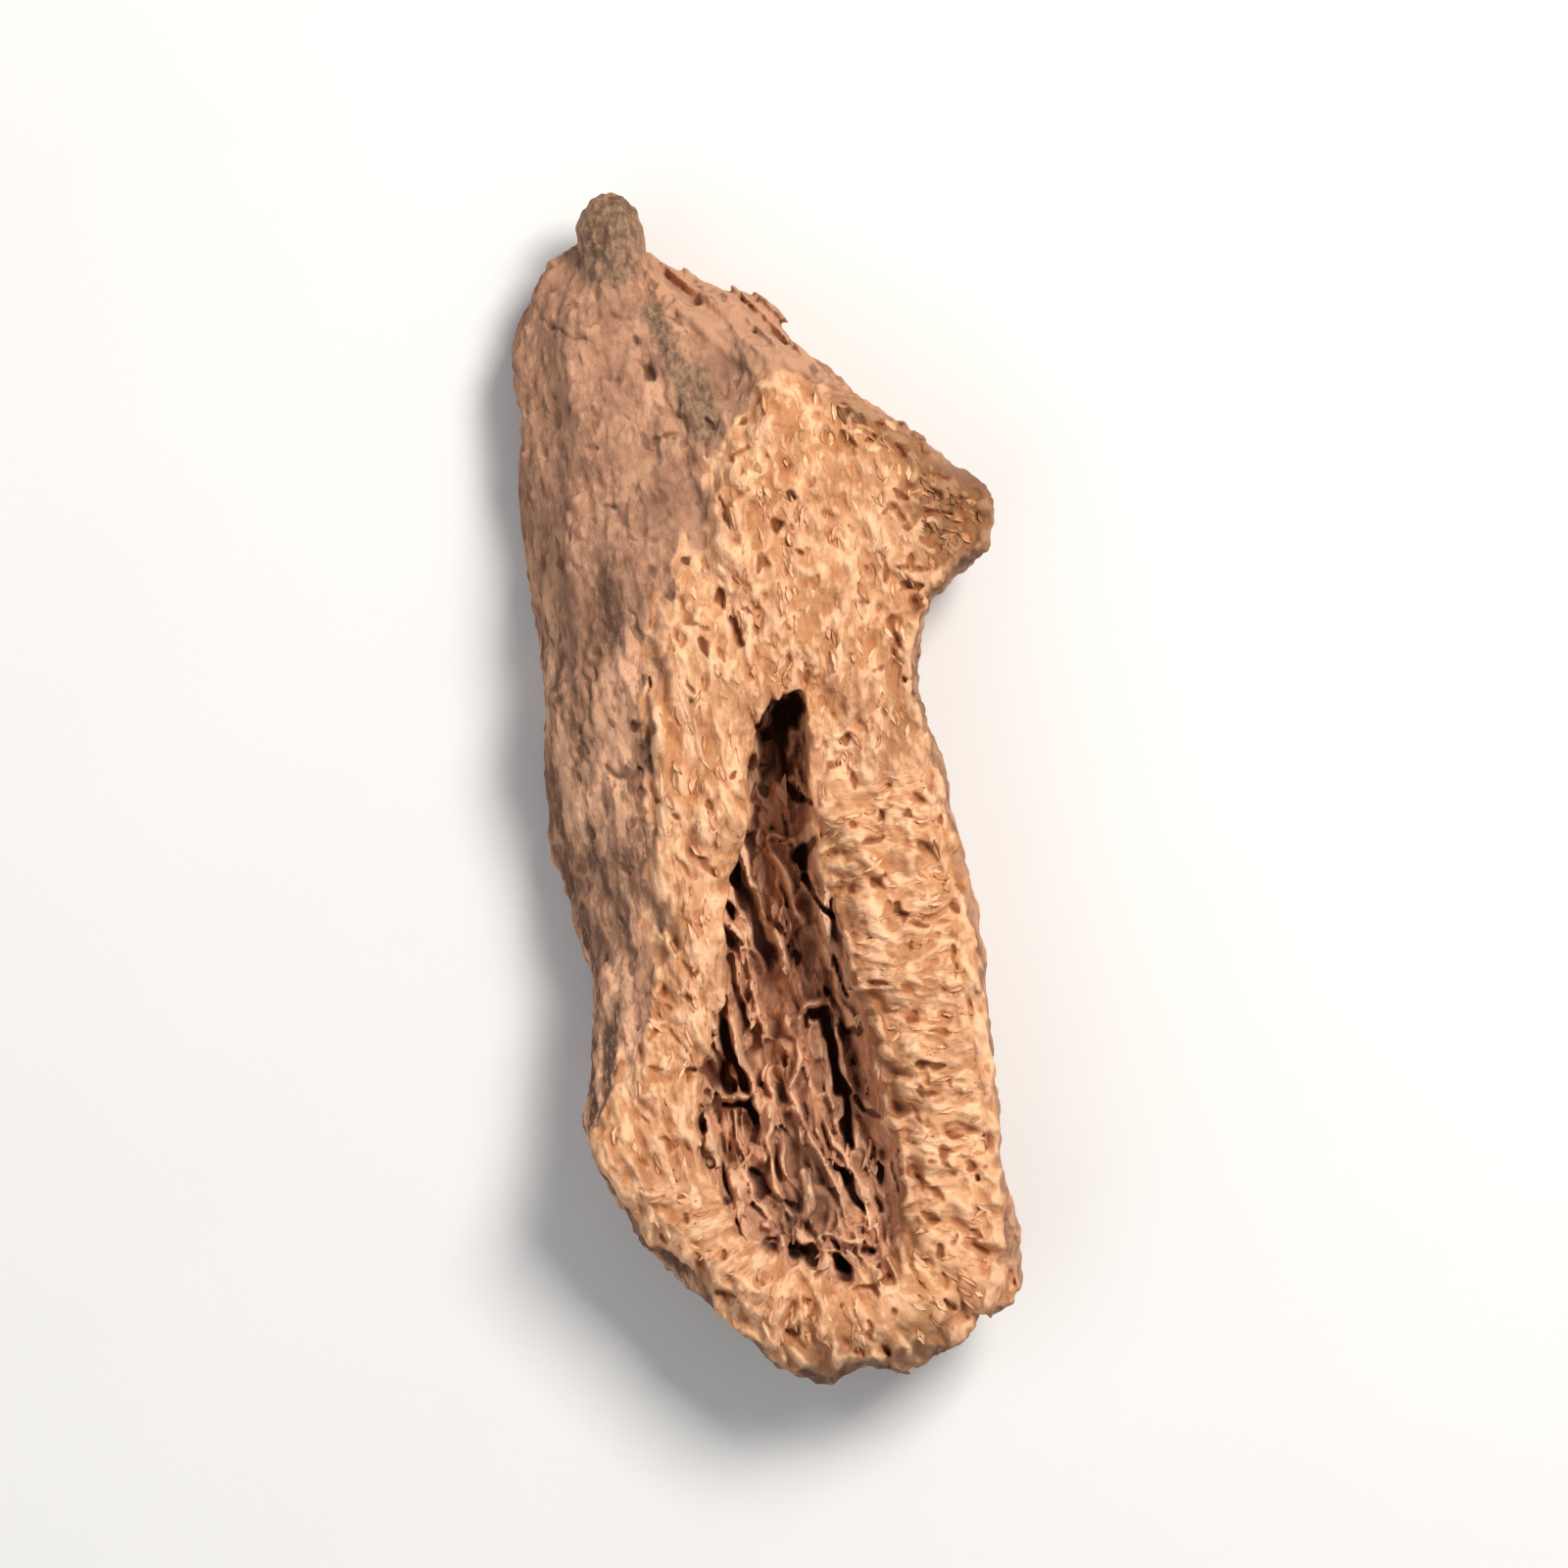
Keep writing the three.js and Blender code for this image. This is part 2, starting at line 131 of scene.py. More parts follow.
# Stage, in metres: half of the floor's side, and the height of the view; and the camera's lens and lean
FLOOR_HALF = 0.6
VIEW_HEIGHT = 0.074
LENS = 200
SENSOR = 36
VIEW_LEAN = math.radians(6)

# Floor's two tones, the lamps with their place, size, power and tint, and the light of the room
FLOOR_TONES = ((0.7, 0.69, 0.67, 1), (0.74, 0.73, 0.71, 1))
LAMPS = (
    ("key_light", (0.14, 0.12, 0.26), 0.12, 1.25, (1.0, 0.965, 0.92)),
    ("fill_light", (-0.28, -0.1, 0.3), 0.4, 0.5, (0.93, 0.96, 1.0)),
)
ROOM_TINT = (0.9, 0.93, 1.0, 1)
ROOM_LIGHT = 0.35

# Frayed part of the face: where its middle is and how far it spreads
FRAY_CENTRE = (9.4, 11.6)
FRAY_SPREAD = 2.6

# Olive streaks, with their reach, on the bud and right of the furrow at the top end; and the shoulder right
# of them, where the bark is rubbed to tan folds that slant down to the right
OLIVE_STREAKS = (
    ((-5.7, 29.0), (-5.9, 25.4), 1.5),
    ((-4.2, 22.6), (-3.2, 19.6), 0.5),
    ((-2.8, 19.0), (-2.1, 16.8), 0.85),
)
SHOULDER = ((-2.4, 23.8), (1.8, 20.0))
SHOULDER_REACH = 1.7
SHOULDER_SLANT = math.radians(42)

# Dark cracks and pits in the bark, carved in and coloured with painted shade: their routes and half of their
# width
BARK_CRACKS = (
    (((-9.4, 22.9), (-8.5, 22.0), (-7.6, 21.5)), 0.13), (((-5.1, 21.3), (-5.0, 21.0)), 0.17),
    (((-4.8, 20.0), (-4.4, 19.3)), 0.2), (((-4.5, 18.3), (-4.3, 17.6)), 0.13),
    (((-3.8, 18.1), (-3.2, 17.1)), 0.12), (((-3.7, 16.6), (-4.1, 16.6)), 0.17),
    (((-4.1, 16.6), (-4.7, 16.2)), 0.12), (((-3.2, 17.1), (-3.1, 15.0), (-2.95, 13.9)), 0.12),
    (((-3.0, 14.0), (-2.9, 13.3)), 0.15), (((-2.1, 17.2), (-1.9, 16.5)), 0.18),
    (((-2.3, 15.9), (-2.1, 15.2)), 0.14), (((-8.0, 16.3), (-7.4, 16.2)), 0.13),
    (((-7.3, 13.55), (-6.6, 13.4), (-6.5, 12.8), (-6.3, 12.3)), 0.14),
    (((-5.3, 11.7), (-5.0, 11.5)), 0.13), (((-4.5, 12.2), (-4.4, 11.4)), 0.1),
    (((-3.9, 10.8), (-3.75, 10.4)), 0.17), (((-4.1, 14.2), (-4.5, 14.4)), 0.09),
    (((-6.9, 14.9), (-6.4, 14.2)), 0.08), (((-5.45, 10.4), (-5.4, 9.9)), 0.12),
    (((-5.6, 9.0), (-5.6, 8.6)), 0.12), (((-8.4, 9.9), (-8.4, 9.3)), 0.13),
    (((-8.5, 7.0), (-8.2, 6.6)), 0.13), (((-6.05, 5.4), (-6.15, 3.9), (-6.25, 2.2)), 0.15),
    (((-9.1, 19.2), (-9.0, 19.1)), 0.13), (((-6.1, 19.6), (-6.1, 19.4)), 0.15),
    (((-8.6, 1.3), (-8.3, 0.9), (-7.2, 0.8)), 0.18), (((-7.0, 1.1), (-7.1, -0.6), (-7.3, -2.5)), 0.14),
    (((-8.3, -3.2), (-7.9, -3.8)), 0.17), (((-9.3, -6.2), (-9.3, -8.4)), 0.1),
    (((-7.05, 3.15), (-7.0, 2.8)), 0.2),
)

# Dark slots in the cut face, carved in, rust at their sides and painted shade near black in them: their
# routes and half of their width
FACE_SLOTS = (
    (((0.55, 17.9), (0.3, 17.6)), 0.1), (((-0.7, 16.7), (-0.3, 16.7)), 0.14),
    (((-1.0, 15.2), (-0.9, 14.8)), 0.13), (((-1.2, 15.1), (-0.3, 15.5)), 0.1),
    (((-1.8, 13.2), (-1.7, 12.4), (-1.4, 11.6)), 0.1), (((4.2, 15.9), (4.5, 15.4), (4.9, 15.0)), 0.16),
    (((5.3, 15.2), (5.7, 15.4)), 0.13), (((5.9, 16.1), (6.1, 16.0)), 0.14),
    (((6.8, 14.8), (7.2, 14.7)), 0.16), (((1.3, 13.15), (1.7, 13.0)), 0.18),
    (((0.6, 12.05), (0.6, 11.5)), 0.2), (((1.3, 11.7), (1.5, 11.4)), 0.11),
    (((1.05, 11.0), (1.15, 10.7)), 0.1), (((1.4, 10.4), (1.6, 10.3)), 0.15),
    (((-0.3, 10.4), (-0.35, 9.7)), 0.13), (((2.2, 9.2), (2.25, 8.7)), 0.1),
    (((5.3, 10.0), (5.6, 9.2), (5.6, 8.6)), 0.12), (((5.6, 7.0), (5.7, 6.2), (5.9, 5.6)), 0.12),
    (((5.6, 11.8), (6.3, 12.1)), 0.1), (((6.4, 12.9), (6.8, 12.5)), 0.12),
    (((7.9, 11.6), (8.8, 11.5)), 0.13), (((6.6, 11.1), (6.9, 11.0)), 0.11),
    (((6.1, 8.5), (7.3, 8.2)), 0.15), (((6.1, 9.3), (7.5, 9.1)), 0.12), (((7.3, 10.6), (8.3, 10.0)), 0.1),
    (((8.2, 13.3), (9.2, 13.4)), 0.2), (((9.4, 12.4), (9.6, 10.6)), 0.14),
    (((8.9, 11.0), (9.5, 11.0)), 0.11), (((8.0, 12.6), (8.4, 12.2)), 0.16),
    (((-2.2, 8.9), (-2.3, 8.2)), 0.2), (((-1.9, 7.9), (-1.75, 7.0), (-1.4, 6.4)), 0.17),
    (((-1.2, 7.95), (-0.9, 7.9)), 0.12), (((-4.4, 9.4), (-4.1, 8.6), (-4.0, 7.6), (-3.0, 7.3)), 0.09),
    (((0.7, 7.0), (0.6, 6.8)), 0.11), (((-3.45, 6.9), (-3.35, 6.2), (-3.2, 5.8)), 0.16),
    (((-2.7, 6.2), (-2.4, 5.6)), 0.1), (((-4.5, 5.0), (-4.0, 4.2)), 0.11),
    (((1.4, 4.7), (1.3, 4.1)), 0.11), (((4.85, 4.6), (4.9, 4.4)), 0.12), (((5.9, 4.1), (5.9, 3.8)), 0.13),
    (((2.9, 1.7), (2.9, 1.1)), 0.14), (((1.9, 0.2), (2.6, 0.4)), 0.11),
    (((3.1, -0.2), (3.1, -0.9)), 0.12), (((4.6, -0.95), (4.8, -1.0)), 0.14),
    (((4.05, -2.2), (4.3, -2.5)), 0.19), (((2.7, -2.5), (3.0, -2.8)), 0.12),
    (((3.2, -3.75), (3.8, -3.6), (4.1, -3.5)), 0.14), (((4.0, -5.1), (3.4, -5.6)), 0.12),
    (((2.2, -5.8), (2.5, -5.6)), 0.13), (((4.3, -7.1), (4.8, -7.1)), 0.18),
    (((4.8, -7.5), (5.9, -7.8)), 0.13), (((7.1, -7.0), (7.4, -7.4)), 0.14),
    (((7.2, -5.9), (7.7, -6.5)), 0.14), (((5.4, -2.3), (5.5, -2.6)), 0.12),
    (((6.9, -2.6), (6.9, -3.0)), 0.12), (((6.9, -5.2), (6.7, -5.7)), 0.1),
    (((2.7, -10.1), (3.6, -10.4)), 0.12), (((4.3, -10.4), (4.8, -10.9)), 0.1),
    (((4.3, -11.9), (4.9, -12.0)), 0.12), (((5.3, -12.6), (6.4, -12.8)), 0.11),
    (((4.6, -14.2), (5.8, -14.4)), 0.16), (((4.4, -15.4), (5.1, -15.6)), 0.15),
    (((4.1, -16.1), (4.5, -16.8), (4.9, -17.1)), 0.1), (((5.5, -17.5), (5.9, -17.8), (6.4, -17.7)), 0.13),
    (((5.9, -18.5), (5.3, -18.5), (5.2, -19.0), (5.7, -19.3)), 0.11),
    (((6.4, -19.3), (6.9, -19.5)), 0.15), (((4.0, -19.4), (4.6, -19.8)), 0.12),
    (((7.5, -18.5), (7.5, -18.7)), 0.14), (((6.0, -15.1), (6.1, -15.4)), 0.12),
    (((6.9, -8.8), (6.8, -10.5)), 0.1), (((5.0, -8.4), (5.0, -8.9)), 0.11),
    (((4.5, -19.9), (5.3, -20.7)), 0.14), (((4.1, -21.3), (4.9, -21.6)), 0.14),
    (((4.6, -22.9), (4.9, -23.4)), 0.26), (((6.3, -22.4), (6.8, -22.7)), 0.14),
    (((3.3, -23.2), (3.6, -24.2), (3.9, -24.8)), 0.1), (((6.3, -23.0), (7.2, -23.5)), 0.1),
    (((4.7, -25.3), (5.0, -25.9)), 0.15), (((4.8, -24.2), (5.0, -25.0)), 0.09),
    (((2.4, -25.6), (2.4, -25.8)), 0.12), (((0.9, -25.9), (1.2, -26.8)), 0.14),
    (((0.5, -27.2), (0.6, -27.6)), 0.15), (((1.5, -27.0), (1.8, -27.6)), 0.14),
    (((-2.8, -26.1), (-2.3, -26.2)), 0.17), (((-1.5, -25.2), (-1.4, -25.7)), 0.13),
    (((-1.8, -24.6), (-1.8, -24.8)), 0.13), (((0.5, -24.5), (1.5, -24.5), (2.3, -24.2)), 0.13),
    (((-5.7, -23.9), (-5.1, -24.1)), 0.12), (((-5.4, -22.0), (-5.4, -22.4)), 0.13),
    (((-6.8, -22.0), (-6.5, -22.9)), 0.09), (((-7.0, -20.1), (-6.8, -20.5)), 0.1),
    (((-8.3, -20.8), (-8.1, -21.3)), 0.1), (((-7.2, -19.3), (-7.0, -19.6)), 0.11),
    (((-6.3, -0.4), (-6.0, -0.6)), 0.12), (((-5.6, -1.3), (-5.3, -1.6)), 0.1),
    (((-4.0, -0.9), (-3.8, -1.3)), 0.13), (((-2.4, 0.4), (-2.7, 0.1)), 0.13),
    (((-5.9, -3.2), (-5.4, -3.7), (-5.0, -4.4)), 0.1), (((-4.6, -3.4), (-4.3, -3.9), (-4.0, -4.4)), 0.13),
    (((-5.5, -5.4), (-5.7, -6.2), (-4.7, -6.7), (-4.3, -6.5)), 0.08),
    (((-5.8, -8.2), (-5.4, -8.9)), 0.11), (((-5.8, -9.7), (-5.8, -10.1)), 0.14),
    (((-6.8, -10.3), (-6.5, -10.5)), 0.11), (((-6.8, -6.6), (-6.5, -7.9)), 0.08),
    (((-8.0, -11.8), (-7.4, -11.3), (-6.9, -11.3), (-6.5, -11.8), (-6.2, -12.6)), 0.09),
    (((-6.3, -13.4), (-5.7, -13.5)), 0.16), (((-7.9, -13.0), (-7.4, -13.2)), 0.11),
    (((-7.0, -9.3), (-6.9, -9.8)), 0.11), (((-8.6, -15.2), (-8.2, -15.6)), 0.1),
    (((-9.0, -17.2), (-8.5, -17.7)), 0.1), (((-7.6, -16.4), (-7.2, -17.0)), 0.11),
)

# Pale strands that stand out of the cut face: their routes and half of their width
FACE_STRANDS = (
    (((-4.6, 9.6), (-4.6, 8.8), (-4.5, 8.0), (-4.9, 6.9), (-5.3, 6.2)), 0.15),
    (((-2.6, 5.9), (-2.4, 4.8)), 0.2), (((1.5, 5.9), (1.6, 5.1)), 0.18),
    (((-1.2, 13.0), (-1.2, 11.9)), 0.16), (((-0.5, 14.4), (-0.3, 13.3)), 0.25),
    (((4.8, 15.7), (5.1, 15.9)), 0.3), (((5.4, 14.8), (6.0, 14.9)), 0.24),
    (((6.5, 16.3), (6.6, 15.8)), 0.22), (((5.1, 11.3), (5.6, 12.0), (6.1, 12.4)), 0.12),
    (((7.2, 11.0), (8.2, 11.3)), 0.16), (((4.0, 9.0), (4.1, 7.6)), 0.14),
    (((2.3, 1.7), (2.4, 0.9)), 0.26), (((2.3, -0.2), (2.7, -0.3)), 0.2), (((4.6, 2.9), (4.6, 1.8)), 0.16),
    (((5.3, -2.4), (5.5, -3.8)), 0.15), (((3.1, -4.2), (3.4, -4.9)), 0.26),
    (((3.4, -6.3), (3.5, -9.2)), 0.3), (((4.2, -14.8), (5.0, -14.9)), 0.16),
    (((4.5, -13.4), (4.8, -13.5)), 0.2), (((4.6, -9.6), (4.9, -9.7)), 0.16),
    (((7.6, -11.6), (7.9, -13.2), (8.1, -14.6)), 0.2), (((7.3, -6.4), (7.7, -7.2)), 0.16),
    (((4.4, -17.2), (4.7, -18.2)), 0.3), (((3.6, -23.4), (4.1, -24.4)), 0.16),
    (((1.8, -24.9), (2.6, -24.5)), 0.18), (((2.5, -26.8), (2.9, -27.5)), 0.16),
    (((-6.6, -18.9), (-6.5, -19.7)), 0.26), (((-4.9, -23.2), (-4.0, -24.0)), 0.2),
    (((-4.5, -3.6), (-4.15, -4.2)), 0.12), (((-4.2, -0.6), (-4.0, -3.0)), 0.16),
    (((-4.3, -5.2), (-4.0, -6.2)), 0.2), (((-6.2, -12.0), (-5.9, -13.0)), 0.16),
    (((-5.6, -10.4), (-5.6, -12.0)), 0.12), (((-5.3, -6.9), (-5.4, -7.8)), 0.18),
)

# A mark is at its strongest from this half width on, in millimetres
FULL_MARK = 0.18

# Paler and darker places on the cut face and the bark: where, how far they reach and how much they change.
# Many are the tint of the wood and bark. The darker ones on the bark's left flank, along the slice's lower
# edge and on the frayed lobe are painted shade, where the slice turns from the light or lies in the shadow of
# its neighbours
SHADES = (
    ((6.0, -19.0), 3.2, 0.45), ((-4.4, 4.5), 2.4, 0.4), ((-7.6, -18.5), 2.2, -0.35),
    ((3.5, -27.4), 2.3, -0.8), ((-1.5, -27.4), 2.3, -0.75), ((-6.6, -23.2), 2.0, -0.5),
    ((5.6, 2.4), 1.8, -0.75), ((9.2, 11.8), 2.8, -1.0), ((6.0, 15.5), 1.6, -0.3),
    ((-7.4, 9.0), 3.2, -0.6), ((-8.0, 3.0), 3.0, -0.45), ((-4.6, 13.5), 1.8, -0.45),
    ((-8.6, -6.0), 3.2, -0.25), ((-2.4, 17.6), 1.2, -0.3), ((-0.6, 19.8), 1.7, -0.6),
    ((-1.0, -18.6), 2.6, -0.85), ((0.0, 9.0), 3.0, 0.15), ((-5.0, -5.0), 2.0, 0.3),
    ((-1.2, -21.6), 1.8, -0.35), ((-5.8, 27.4), 1.5, -0.25), ((1.7, -3.0), 0.8, -0.9),
    ((2.4, -5.6), 0.8, -0.4), ((7.0, 8.8), 0.9, -0.3),
)

# Depths and heights, in millimetres: the bark's cracks, the face's holes and slots, the lip over its edge,
# its strands, and the seams along the hollow
CRACK_DEPTH = 0.2
HOLE_DEPTH = 0.2
SLOT_DEPTH = 0.32
LIP_HEIGHT = 0.2
STRAND_HEIGHT = 0.12
SEAM_HEIGHT = 0.32

# Share of its half width that a mark has at its ends, and what is added to that in its middle
MARK_END = 0.45
MARK_SWELL = 0.7

# How much the strands and where they set in lean, and the matted tissue, the seams and the heart's strands
STRANDS_LEAN = 0.16
STRANDS_TURN = 0.06
MATTED_LEAN = 0.1
SEAMS_LEAN = 0.17

# Slant of the streaks in the bark
BARK_SLANT = math.radians(9)

# The sculpted slice is cut into pieces here, between the neck and the ring round the hollow
NECK_Y = 4.0

# A column or corner belongs to a part of the surface from this share of it on
HALF = 0.5

# What the finish is told of where each corner lies, and what only the laying of strips is told
LIE_FACTS = (
    "frayed", "olive", "shoulder", "shade", "edge", "rough_bark", "radial", "round", "out", "rim", "mouth",
)
STRIP_FACTS = ("rim", "mouth")

# Torn strips: seed of the first kind; how level the surface is where they lie, how far from an edge and how
# free of slots; and the height from which the heart tissue carries them
FIRST_SEED = 81
LEVEL = 0.6
EDGE_FREE = 0.5
UNCUT = 0.1
ROUGH_HEART = -0.3

# Each strip: spots along it, how often it is straightened, its thickness, how much it leans up from the
# surface, spread of its sideways bend, how far it may be moved to the surface at once, and its narrowest part
STATIONS = 7
STIFFNESS = 3
THICK = 0.09
UPRIGHT = 0.3
BEND_SPREAD = 0.12
STEP = 0.15
NARROWEST = 0.12

# Random fields repeat after so many grains, which is more than the slice is long
PERIOD = 512

# Waves over the slice, seen from above: height, width and length of their grains, and seed
WAVES = {
    "face sideways": ((0.3, 2.4, 3.2, 11), (0.09, 0.8, 0.9, 12)),
    "face lengthwise": ((0.3, 2.4, 3.2, 13), (0.09, 0.8, 0.9, 14)),
    "face borders": ((0.14, 1.5, 2.0, 15),),
    "face swell": ((0.05, 1.6, 2.2, 16), (0.03, 0.21, 0.3, 17)),
    "face lip": ((0.5, 0.5, 0.9, 20),),
    "heart sideways": ((0.16, 1.1, 1.9, 51), (0.09, 0.42, 0.6, 52)),
    "heart lengthwise": ((0.16, 1.1, 1.9, 53), (0.09, 0.42, 0.6, 60)),
    "heart grain": ((0.04, 0.2, 0.3, 57),),
    "wall height": ((0.35, 0.6, 0.7, 59),),
    "gap edge": ((0.25, 0.28, 0.45, 50),),
    "bark border": ((0.22, 0.5, 0.9, 71),),
    "hollow edge": ((0.2, 0.5, 0.7, 72),),
    "ledge": ((0.15, 0.8, 0.9, 73),),
    "carving": ((0.08, 0.4, 0.5, 75),),
    "mark sideways": ((0.07, 0.5, 0.6, 0), (0.04, 0.2, 0.25, 1)),
    "mark lengthwise": ((0.07, 0.5, 0.6, 2),),
    "mark edge": ((0.34, 0.22, 0.28, 3),),
}

# Where something sets in and where it is full, in millimetres along, across or above the root or from an edge
SETS_IN = {
    "lamellae down the root": (3.0, -4.0),
    "lamellae on the right": (0.0, 2.5),
    "lamellae at the low end": (-16.0, -21.0),
    "lamellae off the rim": (0.5, 1.0),
    "strands on the left": (-1.0, -2.5),
    "strands down the root": (9.0, 4.0),
    "frayed rim": (1.7, 0.3),
    "frayed on the right": (2.5, 5.0),
    "frayed up the root": (8.0, 10.0),
    "worn edge of the hollow": (-1.2, -0.1),
    "worn edge down the root": (-2.0, -8.0),
    "worn edge on the right": (0.5, 2.0),
    "rough bark down the root": (14.0, 7.0),
    "calm bark on the right": (-2.0, 2.0),
    "cells at the hollow's low end": (-20.4, -21.8),
    "lip outwards": (0.9, 0.2),
    "lip inwards": (-0.4, 0.1),
    "floor under the hollow": (-0.3, 0.3),
    "no ledge on the left": (0.8, -0.4),
    "no ledge on the face": (-0.9, -1.3),
    "no carving on the right": (0.2, 1.2),
    "no carving down the root": (-8.0, -10.0),
    "no carving in the middle": (0.6, 1.0),
    "middle below the tip": (-0.5, -1.5),
    "deep tip": (-1.5, 0.5),
    "bark finish": (0.12, -0.16),
    "bark tint": (0.3, -0.25),
    "cut wood at the low end": (-23.5, -26.0),
    "bark on the flank": (-0.5, -1.1),
    "bark outside the hollow": (-0.3, -0.8),
    "bark over the base": (0.15, 0.4),
    "heart below the face": (-0.2, -1.1),
    "heart in the middle": (0.6, 1.1),
    "heart in the mouth": (-0.35, 0.25),
    "heart under the face": (-1.2, -2.0),
    "heart off the rim": (2.0, 2.6),
    "heart over the base": (0.5, 1.0),
    "heart relief over the base": (1.5, 2.0),
    "base": (1.6, 0.6),
}

# Share of its roughness that the bark keeps on the right
CALM_BARK = 0.4

# Tissue of the cut face, by how it runs: width and length of its pads, and seed
LAMELLAE = (0.42, 1.0, 21)
STRANDS = (0.42, 1.3, 31)
MATTED = (0.45, 0.8, 41)
FRAYED = (0.6, 1.1, 46)

# Gaps torn in the heart tissue: their routes, half of their width and their depth
GAPS = (
    (((0.5, 3.2), (-0.2, 2.4), (-0.6, 1.2), (-0.6, 0.2)), 0.6, 1.5),
    (((-0.7, 0.1), (0.1, -0.9), (0.9, -1.2)), 0.16, 0.9),
    (((-2.0, -2.9), (-1.8, -3.7)), 0.22, 0.9),
    (((0.7, -3.2), (0.1, -3.6), (0.1, -4.3)), 0.26, 1.1),
    (((-2.9, -4.0), (-3.05, -4.8), (-2.65, -5.6), (-2.6, -6.9)), 0.2, 1.0),
    (((-2.4, -7.3), (-2.0, -8.6)), 0.4, 1.7),
    (((0.3, -5.0), (0.5, -6.0), (0.9, -6.7), (1.4, -7.1)), 0.13, 0.9),
    (((-0.6, -8.4), (-0.5, -8.6)), 0.24, 0.8),
    (((1.2, -8.9), (1.5, -9.8), (1.8, -10.8)), 0.12, 0.8),
    (((0.6, -10.4), (1.05, -11.4), (1.4, -12.4), (2.0, -12.6)), 0.13, 0.8),
    (((-0.1, -11.4), (0.4, -11.3)), 0.27, 1.6),
    (((0.35, -11.6), (0.6, -13.0), (1.1, -15.0)), 0.28, 1.7),
    (((1.1, -15.0), (1.1, -17.7)), 0.15, 1.5),
    (((-4.2, -11.6), (-4.3, -13.0)), 0.22, 0.9),
    (((-4.6, -13.2), (-4.6, -14.6)), 0.26, 1.0),
    (((-3.9, -13.0), (-3.85, -14.6)), 0.2, 0.9),
    (((-4.9, -15.4), (-3.5, -15.45), (-3.35, -16.2)), 0.14, 0.8),
    (((1.6, -15.3), (2.0, -16.2), (2.7, -16.4)), 0.11, 0.7),
    (((-3.4, -18.6), (-3.0, -19.5)), 0.24, 0.8),
    (((0.6, -18.8), (0.9, -19.8), (1.3, -20.8)), 0.17, 1.0),
    (((-2.1, -22.5), (-1.4, -22.8)), 0.36, 1.1),
    (((-0.2, -22.9), (0.2, -23.5)), 0.3, 1.1),
    (((1.2, -22.7), (1.7, -22.6)), 0.2, 0.6),
    (((-3.5, -22.3), (-3.1, -22.3)), 0.22, 0.5),
)

# Torn folds that stand up from the heart tissue: their routes, half of their width and their height
FOLDS = (
    (((1.0, 1.35), (0.4, 1.05), (0.1, 0.5), (0.5, -0.6)), 0.1, 1.4),
    (((0.4, -2.2), (0.1, -2.8), (-0.9, -3.1)), 0.13, 0.9),
    (((-2.3, -3.1), (-2.1, -4.6), (-2.1, -6.6)), 0.13, 1.0),
    (((-3.0, -7.5), (-2.35, -9.0)), 0.12, 0.8),
    (((-1.7, -7.2), (-1.3, -8.8)), 0.16, 0.8),
    (((-0.9, -3.8), (-0.5, -6.0), (0.0, -7.6)), 0.12, 0.8),
    (((0.3, -7.4), (0.9, -9.6)), 0.12, 0.8),
    (((-1.5, -15.0), (-1.2, -13.2), (-0.95, -11.4), (-0.4, -10.75), (0.2, -10.75)), 0.13, 1.3),
    (((0.75, -11.0), (1.1, -12.8), (1.5, -14.6)), 0.12, 1.1),
    (((-3.8, -11.4), (-3.5, -13.2), (-3.35, -14.8)), 0.14, 1.2),
    (((-3.0, -15.2), (-2.75, -16.2), (-2.85, -17.5)), 0.24, 1.0),
    (((-5.2, -15.1), (-4.4, -14.9), (-3.6, -15.0)), 0.12, 0.9),
    (((-1.5, -15.2), (-1.0, -16.4)), 0.14, 0.8),
    (((0.3, -13.6), (0.6, -15.8)), 0.1, 0.8),
    (((1.5, -15.2), (2.0, -15.9)), 0.3, 0.8),
    (((-4.1, -18.7), (-4.3, -20.2)), 0.42, 0.8),
    (((-2.6, -20.1), (-2.0, -20.8), (-1.3, -20.5), (-1.05, -19.1)), 0.18, 0.9),
    (((1.2, -18.9), (1.7, -20.1)), 0.28, 0.8),
    (((-0.8, -22.0), (-0.7, -23.4)), 0.1, 0.7),
)


class Block:
    """A block of cells round the slice, in millimetres, that holds fields such as signed distances."""

    def __init__(self, low, high, cell):
        self.cell = cell
        self.start = np.floor(np.array(low) / cell).astype(int)
        self.shape = tuple(np.ceil(np.array(high) / cell).astype(int) - self.start + 1)
        self.x, self.y, self.z = (
            ((np.arange(count) + first) * cell).astype(np.float32)
            for count, first in zip(self.shape, self.start)
        )

    def plan(self):
        """The x and y of every column, seen from above."""
        return np.meshgrid(self.x, self.y, indexing="ij")

    def first_cell(self):
        """Where its first cell lies in a grid of such cells."""
        return tuple(int(count) for count in self.start)

    def sample(self, field, points):
        """A field's values at points, weighed between the nearest cells."""
        axes = field.ndim
        spot = points[:, :axes] / self.cell - self.start[:axes]
        spot = np.clip(spot, 0, np.array(field.shape) - 1.001)
        base = np.floor(spot).astype(int)
        share = spot - base
        total = np.zeros(len(points))
        for corner in np.ndindex(*(2,) * axes):
            weight = np.prod(np.where(corner, share, 1 - share), axis=1)
            total += weight * field[tuple((base + corner).T)]
        return total


def smooth(low, high, value):
    share = np.clip((value - low) / (high - low), 0, 1)
    return share * share * (3 - 2 * share)


def sets_in(name, value):
    """How fully something has set in at a value."""
    start, full = SETS_IN[name]
    return smooth(start, full, value)


def mixed(first, second, share):
    return first * (1 - share) + second * share


def spline_weights(t):
    """Shares of the four knots round a spot, a part t of the way from the second to the third."""
    return (1 - t) ** 3 / 6, (3 * t**3 - 6 * t**2 + 4) / 6, (-3 * t**3 + 3 * t**2 + 3 * t + 1) / 6, t**3 / 6


def spline_matrix(count, knots, step):
    """Weights that draw a row of knots out to count values, step knots apart, as a smooth curve."""
    spot = np.arange(count) * step
    base = np.floor(spot).astype(int)
    matrix = np.zeros((count, knots), dtype=np.float32)
    for offset, weight in enumerate(spline_weights(spot - base)):
        matrix[np.arange(count), base + offset] = weight
    return matrix


